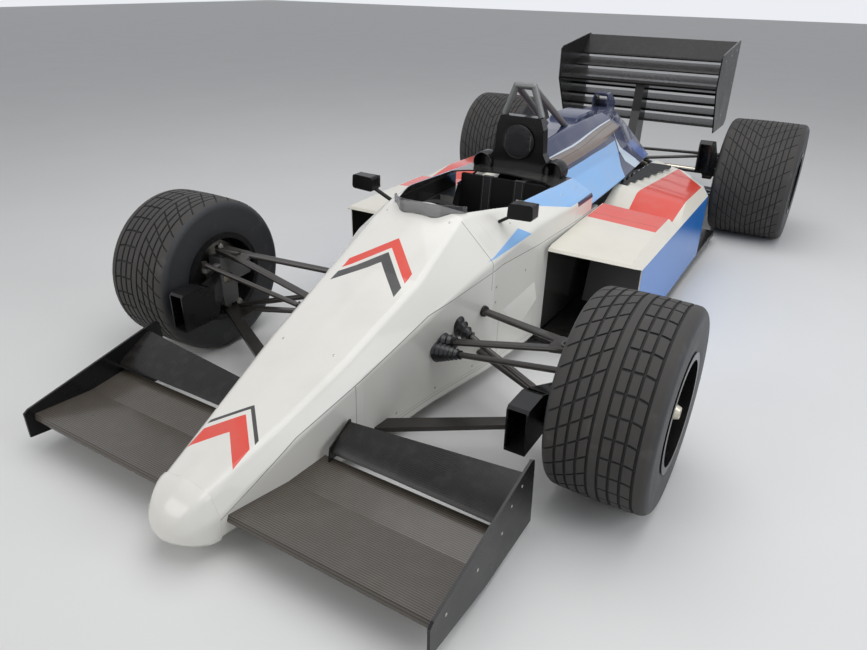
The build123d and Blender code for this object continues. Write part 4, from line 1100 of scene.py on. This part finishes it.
# %% Pod covers
POD_ROWS = np.array([  # station inside, station outside, height inside, height outside, inner edge
    (0.664, 0.716, 0.436, 0.416, 0.350), (0.672, 0.724, 0.447, 0.427, 0.350),
    (0.700, 0.750, 0.453, 0.432, 0.350), (1.000, 1.010, 0.466, 0.440, 0.352),
    (1.300, 1.327, 0.470, 0.440, 0.354), (1.301, 1.328, 0.398, 0.405, 0.354),
    (1.440, 1.400, 0.400, 0.405, 0.306), (1.530, 1.500, 0.437, 0.420, 0.306),
    (1.600, 1.600, 0.464, 0.434, 0.306), (1.650, 1.650, 0.472, 0.440, 0.306)])
POD_REAR = ([0.306, 0.515, 0.652, 0.700], [2.385, 2.262, 2.049, 1.975])
SIDE_X, SIDE_TOP, SIDE_FOOT, SIDE_FRONT = 0.700, 0.396, 0.071, 0.770
OPENING_ROW, OPENING_COLUMNS = 5, 7
HUMP_START, HUMP_FALL = 1.65, 0.032


def pod_grid():
    """Places[row, column]: straight between the row's two ends, then the slanted edge and the side."""
    share = np.linspace(0, 1, 10)
    s_in, s_out, z_in, z_out, x_in = POD_ROWS.T[:, :, None]
    x_top = SIDE_X + SIDE_TOP - z_out
    ends = ((x_in, x_top), (s_in, s_out), (z_in, z_out))
    deck = np.stack([inner + (outer - inner) * share for inner, outer in ends], -1)
    x_last, s_last, z_last = deck[-1].T
    back = np.linspace(0.2, 1, 5)[:, None]
    s_rear = s_last + (np.interp(x_last, *POD_REAR) - s_last) * back
    rear = np.stack([x_last + 0 * s_rear, s_rear, z_last - HUMP_FALL * (s_rear - s_last)], -1)
    top = np.concatenate([deck, rear])
    station = np.maximum(top[:, -1:, 1], SIDE_FRONT)
    station[len(deck):] += back * (POD_REAR[1][-1] - s_rear[-1, -1])
    side = [np.stack([0 * station + SIDE_X, station, 0 * station + z], -1) for z in (SIDE_TOP, SIDE_FOOT)]
    grid = np.concatenate([top] + side, 1)
    foot = grid[-1:].copy()
    foot[..., 2] = SIDE_FOOT
    return np.concatenate([grid, foot]) + (0, FRONT_AXLE_Y, 0)


def pod_cover(name, sign, thickness=0.004):
    """The grid as faces without the opening in the dip, thickened inward."""
    grid = pod_grid() * (sign, 1, 1)
    index = np.arange(grid[..., 0].size).reshape(grid.shape[:2])
    quads = np.stack([index[:-1, :-1], index[:-1, 1:], index[1:, 1:], index[1:, :-1]], -1)
    kept = np.ones(quads.shape[:2], bool)
    kept[OPENING_ROW, :OPENING_COLUMNS] = False
    mesh = bpy.data.meshes.new(name)
    mesh.from_pydata(grid.reshape(-1, 3).tolist(), [], quads[kept].tolist())
    work = bmesh.new()
    work.from_mesh(mesh)
    bmesh.ops.remove_doubles(work, verts=work.verts, dist=1e-6)
    bmesh.ops.solidify(work, geom=work.faces, thickness=thickness * sign)
    work.to_mesh(mesh)
    work.free()
    return mesh


for side_name, sign in (("left", 1), ("right", -1)):
    name = "moulded_pod_" + side_name
    pod = finish_mesh(name, pod_cover(name, sign), POD_PAINT, "chassis", 28,
                      ("sidepod_" + side_name,))
    corners = np.array(pod.bound_box)
    print(name, len(pod.data.polygons), "faces, box", corners.min(0).round(3), corners.max(0).round(3))

# %% [markdown]
# The louvres on the hump's inner strip are small hoods, each a wedge that opens to the rear, so
# warm air can leave. Each is a little longer than the one in front. Pipes cross the dip.

# %% Louvres and pipes in the dip
HOOD_COUNT, HOOD_FIRST, HOOD_STEP, HOOD_GROWTH = 7, 1.690, 0.085, 0.0132
HOOD_OUTLINE = np.array([(-0.026, -0.003), (0.018, 0.011), (0.023, 0.007), (0.023, -0.003)])
hoods = []
for i in range(HOOD_COUNT):
    station = HOOD_FIRST + HOOD_STEP * i
    foot = 0.474 - HUMP_FALL * (station - HUMP_START)
    hoods.append(slab(0.316, 0.358 + HOOD_GROWTH * i, (HOOD_OUTLINE + (station, foot)).tolist()))
add_piece("pod_louvres", hoods, BLACK_PANEL, 30)
PIPES = [((0.352, 1.345, 0.375), (0.600, 1.375, 0.350), 0.016),
         ((0.352, 1.400, 0.345), (0.600, 1.425, 0.320), 0.020),
         ((0.420, 1.330, 0.330), (0.440, 1.500, 0.360), 0.012)]
pipes = [turned(spot(*start), spot(*end), [(0, radius), (1, radius)]) for start, end, radius in PIPES]
add_piece("dip_pipes", pipes, GLOSS_RUBBER, 30)

# %% [markdown]
# The cover has a low box on its back, and a round duct mouth stands on each side of the headrest.

# %% Bump and duct mouths
BUMP_ROWS = [(1.600, 0.070, 0.735), (1.625, 0.078, 0.772), (1.660, 0.080, 0.783), (1.860, 0.078, 0.781),
             (1.885, 0.074, 0.768), (1.890, 0.072, 0.735)]  # station, half width, top
BUMP_SHARES, BUMP_FOOT, BUMP_ROUND = (-1, -0.96, -0.88, 0.88, 0.96, 1), 0.715, 0.010
bump_rows = []
for station, half, top in BUMP_ROWS:
    heights = (BUMP_FOOT, top - BUMP_ROUND, top, top, top - BUMP_ROUND, BUMP_FOOT)
    bump_rows.append([spot(half * share, station, z) for share, z in zip(BUMP_SHARES, heights)])
add_piece("cover_bump", [loft(bump_rows)], COVER_PAINT, 25, mirror=False)
MOUTH_PROFILE = [(0.8, 0.020), (0.8, 0.040), (0.05, 0.042), (0, 0.045), (0.05, 0.048), (1, 0.048)]
mouth = turned(spot(0.172, 1.085, 0.628), spot(0.172, 1.160, 0.628), MOUTH_PROFILE, 32)
add_piece("duct_mouths", [mouth], BLACK_PANEL, 40)

# %% [markdown]
# The tip of the nose is a separate smooth moulding. Its rear outline is the one of the panel it
# fits to; toward the tip the outline shrinks along an arc and turns from a polygon to an oval.

# %% Nose tip
NOSE_HALF = np.array([(0.0, 0.058), (0.104, 0.058), (0.112, 0.140), (0.082, 0.208), (0.0, 0.220)])
NOSE_MIDDLE, OVAL_HALF_WIDTH, OVAL_HALF_HEIGHT, NOSE_DROOP = np.array([0, 0.128]), 0.098, 0.072, 0.016
NOSE_WAYS = (0.0, 0.006, 0.025, 0.06, 0.12, 0.21, 0.33, 0.50, 0.70, 0.86, 1.0)
BLUNTNESS = 2.2


def nose_outline(way, polygon, oval):
    """Outline at a share of the way from tip to joint: a mix of polygon and oval, sized by the
    curve 1 = size^b + (1 - way)^b, whose bluntness b makes the tip round and full."""
    size = (1 - (1 - way) ** BLUNTNESS) ** (1 / BLUNTNESS)
    centre = NOSE_MIDDLE - (0, NOSE_DROOP * (1 - way) ** 2)
    round_share = (1 - way) ** 1.5
    return centre + ((1 - round_share) * polygon + round_share * oval - NOSE_MIDDLE) * max(size, 0.02)


nose_low, nose_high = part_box("nose_cap")
joint_station, tip_station = nose_high.y - FRONT_AXLE_Y, nose_low.y - FRONT_AXLE_Y
whole = np.concatenate([NOSE_HALF, NOSE_HALF[-2:0:-1] * (-1, 1)])
length_along = np.append(0, np.cumsum(np.linalg.norm(np.diff(whole, axis=0, append=whole[:1]), axis=1)))
steps = np.linspace(0, length_along[-1], 48, endpoint=False)
closed = np.vstack([whole, whole[:1]])
polygon = np.stack([np.interp(steps, length_along, closed[:, k]) for k in (0, 1)], -1)
angle = np.arctan2(polygon[:, 1] - NOSE_MIDDLE[1], polygon[:, 0])
oval = NOSE_MIDDLE + np.stack([OVAL_HALF_WIDTH * np.cos(angle), OVAL_HALF_HEIGHT * np.sin(angle)], -1)
nose_rows = [[spot(x, tip_station + (joint_station - tip_station) * way, z)
              for x, z in nose_outline(way, polygon, oval)] for way in NOSE_WAYS]
add_piece("smooth_nose_tip", [loft(nose_rows)], BODY_PAINT, 50, ("nose_cap",), mirror=False)

# %% [markdown]
# A three-sided fairing stands out from the side of the tub in front of the pod: a skin over three
# corners on the tub and one raised corner.

# %% Side fairing
FAIRING = ((0.302, 0.352, 0.288), (0.330, 0.602, 0.326), (0.304, 0.470, 0.110), (0.352, 0.585, 0.262))
fairing = (np.array([spot(*corner) for corner in FAIRING]), [[0, 1, 3], [1, 2, 3], [2, 0, 3], [0, 2, 1]])
add_piece("side_fairings", [fairing], BODY_PAINT, 30)

# %% [markdown]
# Quarter-turn fasteners hold the panels. A ray shot at the panel finds the place and the way the
# surface faces, and a low domed disc is set there. Bolts on the wing endplates are the same disc.

# %% Fasteners
DISC_PROFILE = ((0, 0.0050), (0.5, 0.0050), (0.8, 0.0040), (1, 0.0012))
DISC_SINK, DISC_RISE, FROM_ABOVE, FROM_LEFT = 0.001, 0.0016, (0, 0, -1), (-1, 0, 0)
FASTENERS = {  # skin: way the ray goes, size, places (two of out, station, height)
    "nose_shell": (FROM_ABOVE, 1.0, ((0.100, -0.36), (0.132, 0.262))),
    "cockpit_surround": (FROM_ABOVE, 1.0, ((0.262, 0.480), (0.290, 0.92), (0.290, 1.08))),
    "monocoque": (FROM_LEFT, 1.0, ((0.315, 0.40), (0.315, 0.34), (-0.20, 0.12), (0.0, 0.12), (0.2, 0.12),
                                   (0.4, 0.12), (0.52, 0.40))),
    "front_endplates": (FROM_LEFT, 1.0, ((-0.80, 0.128), (-0.65, 0.128), (-0.52, 0.138), (-0.47, 0.19),
                                         (-0.41, 0.212))),
    "rear_endplates": (FROM_LEFT, 1.3, ((2.98, 0.62), (3.10, 0.62), (2.92, 0.96), (3.08, 0.98),
                                        (3.24, 1.0), (3.28, 0.8))),
}


def fastener(skin, start, aim, size):
    """A domed disc where the ray meets the skin, standing along the surface's normal."""
    place, normal, _, _ = skin.ray_cast(Vector(start), Vector(aim))
    if normal.dot(Vector(aim)) > 0:
        normal = -normal
    place, normal = np.array(place), np.array(normal)
    profile = [(way, radius * size) for way, radius in DISC_PROFILE]
    return turned(place - DISC_SINK * normal, place + DISC_RISE * size * normal, profile, 12)


depsgraph = bpy.context.evaluated_depsgraph_get()
discs = []
for name, (aim, size, places) in FASTENERS.items():
    skin = BVHTree.FromObject(nodes[name], depsgraph)
    starts = [spot(a, b, 1) if aim == FROM_ABOVE else spot(1, a, b) for a, b in places]
    discs += [fastener(skin, start, aim, size) for start in starts]
add_piece("fasteners", discs, SILVER, 40)

# %% [markdown]
# Steel nuts close the ball joints of the arms. A nut is a six-sided prism with a bolt end in it.
# The mirrors get their glass on the side that faces the driver.

# %% Joint nuts and mirror glass
NUT_RADIUS, BOLT_RADIUS, BOLT_SHARE = 0.011, 0.005, 1.5
nuts = []
for place, height in ((UPPER_JOINT + (0, 0, 0.008), 0.012), (LOWER_JOINT + (0, 0, 0.008), 0.010),
                      (PUSHROD_ENDS[0] + (0, 0, 0.010), 0.014)):
    way = np.array((0, 0, height))
    nuts += [turned(place, place + way, [(0, NUT_RADIUS), (1, NUT_RADIUS)], 6),
             turned(place, place + way * BOLT_SHARE, [(0, BOLT_RADIUS), (1, BOLT_RADIUS)], 12)]
add_piece("joint_nuts", nuts, SILVER, 30)
glass_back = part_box("mirrors")[1].y - FRONT_AXLE_Y
GLASS_LOW, GLASS_HIGH = 0.640, 0.688
glass_outline = [(glass_back - 0.002, GLASS_LOW), (glass_back - 0.002, GLASS_HIGH),
                 (glass_back + 0.001, GLASS_HIGH), (glass_back + 0.001, GLASS_LOW)]
add_piece("mirror_glass", [slab(0.296, 0.384, glass_outline)], SILVER, 30)

# %% [markdown]
# One big nut holds each wheel. It is a turned sleeve with a hollow end and stands out almost to
# the plane of the tyre's side.

# %% Wheel nuts
SLEEVE = [(0, 0.031), (0.22, 0.031), (0.26, 0.025), (0.78, 0.025), (1, 0.017), (1, 0.009), (0.85, 0.009)]
for axle, start, end in (("front", 0.955, 1.041), ("rear", 0.950, 1.030)):
    for side_name, side in (("left", 1), ("right", -1)):
        wheel = axle + "_" + side_name
        middle = sum(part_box("tyre_" + wheel), Vector()) / 2
        ends = [np.array((side * x, middle.y, middle.z)) for x in (start, end)]
        add_piece("wheel_nut_" + wheel, [turned(*ends, SLEEVE, 28)], TURNED, mirror=False,
                  body="wheel_" + wheel)

# %% [markdown]
# The headrest pad is stuffed cloth. A flat round case is given even small faces and blown up as
# cloth, so it crowns in the middle and pulls in toward its seam; a cord of piping hides the seam.

# %% Headrest pad
PAD_MIDDLE, PAD_RADIUS, PAD_BACK, PAD_THICK, PAD_ROUND = 0.742, 0.0705, 1.0992, 0.017, 0.004
VOXEL, PRESSURE, MOST_SWELL = 0.005, 4.0, 0.005
PIPING_RADIUS, PIPING_OUT, PIPING_FORWARD = 0.0028, 0.001, 0.010


def coordinates(mesh):
    """The places of a mesh's points as an array."""
    flat = np.empty(len(mesh.vertices) * 3, np.float32)
    mesh.vertices.foreach_get("co", flat)
    return flat.reshape(-1, 3).astype(float)


def inflate(piece, pressure, most, frames=20):
    """Blows a case up as cloth without gravity; no point may move further than most metres."""
    cloth = piece.modifiers.new("cloth", "CLOTH")
    cloth.settings.use_pressure = True
    cloth.settings.uniform_pressure_force = pressure
    cloth.settings.effector_weights.gravity = 0
    scene = bpy.context.scene
    for frame_number in range(1, frames + 1):
        scene.frame_set(frame_number)
    blown = piece.evaluated_get(bpy.context.evaluated_depsgraph_get()).data
    start, end = coordinates(piece.data), coordinates(blown)
    piece.modifiers.clear()
    scene.frame_set(1)
    move = end - start
    reach = np.linalg.norm(move, axis=1, keepdims=True)
    held = start + move * np.minimum(1, most / np.maximum(reach, 1e-9))
    piece.data.vertices.foreach_set("co", held.ravel())
    piece.data.update()


profile = [(0, PAD_RADIUS - PAD_ROUND), (0.3, PAD_RADIUS), (0.7, PAD_RADIUS), (1, PAD_RADIUS - PAD_ROUND)]
case = turned(spot(0, PAD_BACK, PAD_MIDDLE), spot(0, PAD_BACK - PAD_THICK, PAD_MIDDLE), profile, 48)
pad = add_piece("stuffed_headrest", [case], WEBBING, 50, ("headrest_pad",), mirror=False)
remesh = pad.modifiers.new("even faces", "REMESH")
remesh.mode, remesh.voxel_size, remesh.use_smooth_shade = "VOXEL", VOXEL, True
even = bpy.data.meshes.new_from_object(pad.evaluated_get(bpy.context.evaluated_depsgraph_get()))
pad.modifiers.clear()
pad.data = even
inflate(pad, PRESSURE, MOST_SWELL)
turn = np.linspace(0, 2 * np.pi, 64, endpoint=False)[:, None]
around = np.linspace(0, 2 * np.pi, 10, endpoint=False)[None, :]
ring_radius = PAD_RADIUS + PIPING_OUT + PIPING_RADIUS * np.cos(around)
ring_y = FRONT_AXLE_Y + PAD_BACK - PIPING_FORWARD + PIPING_RADIUS * np.sin(around) + 0 * turn
piping = np.stack([ring_radius * np.cos(turn), ring_y, PAD_MIDDLE + ring_radius * np.sin(turn)], -1)
piping = finish_mesh("headrest_piping", ring_mesh("headrest_piping", piping), GLOSS_RUBBER, "chassis",
                     60)
print("pad:", len(pad.data.polygons), "piping:", len(piping.data.polygons), "faces")
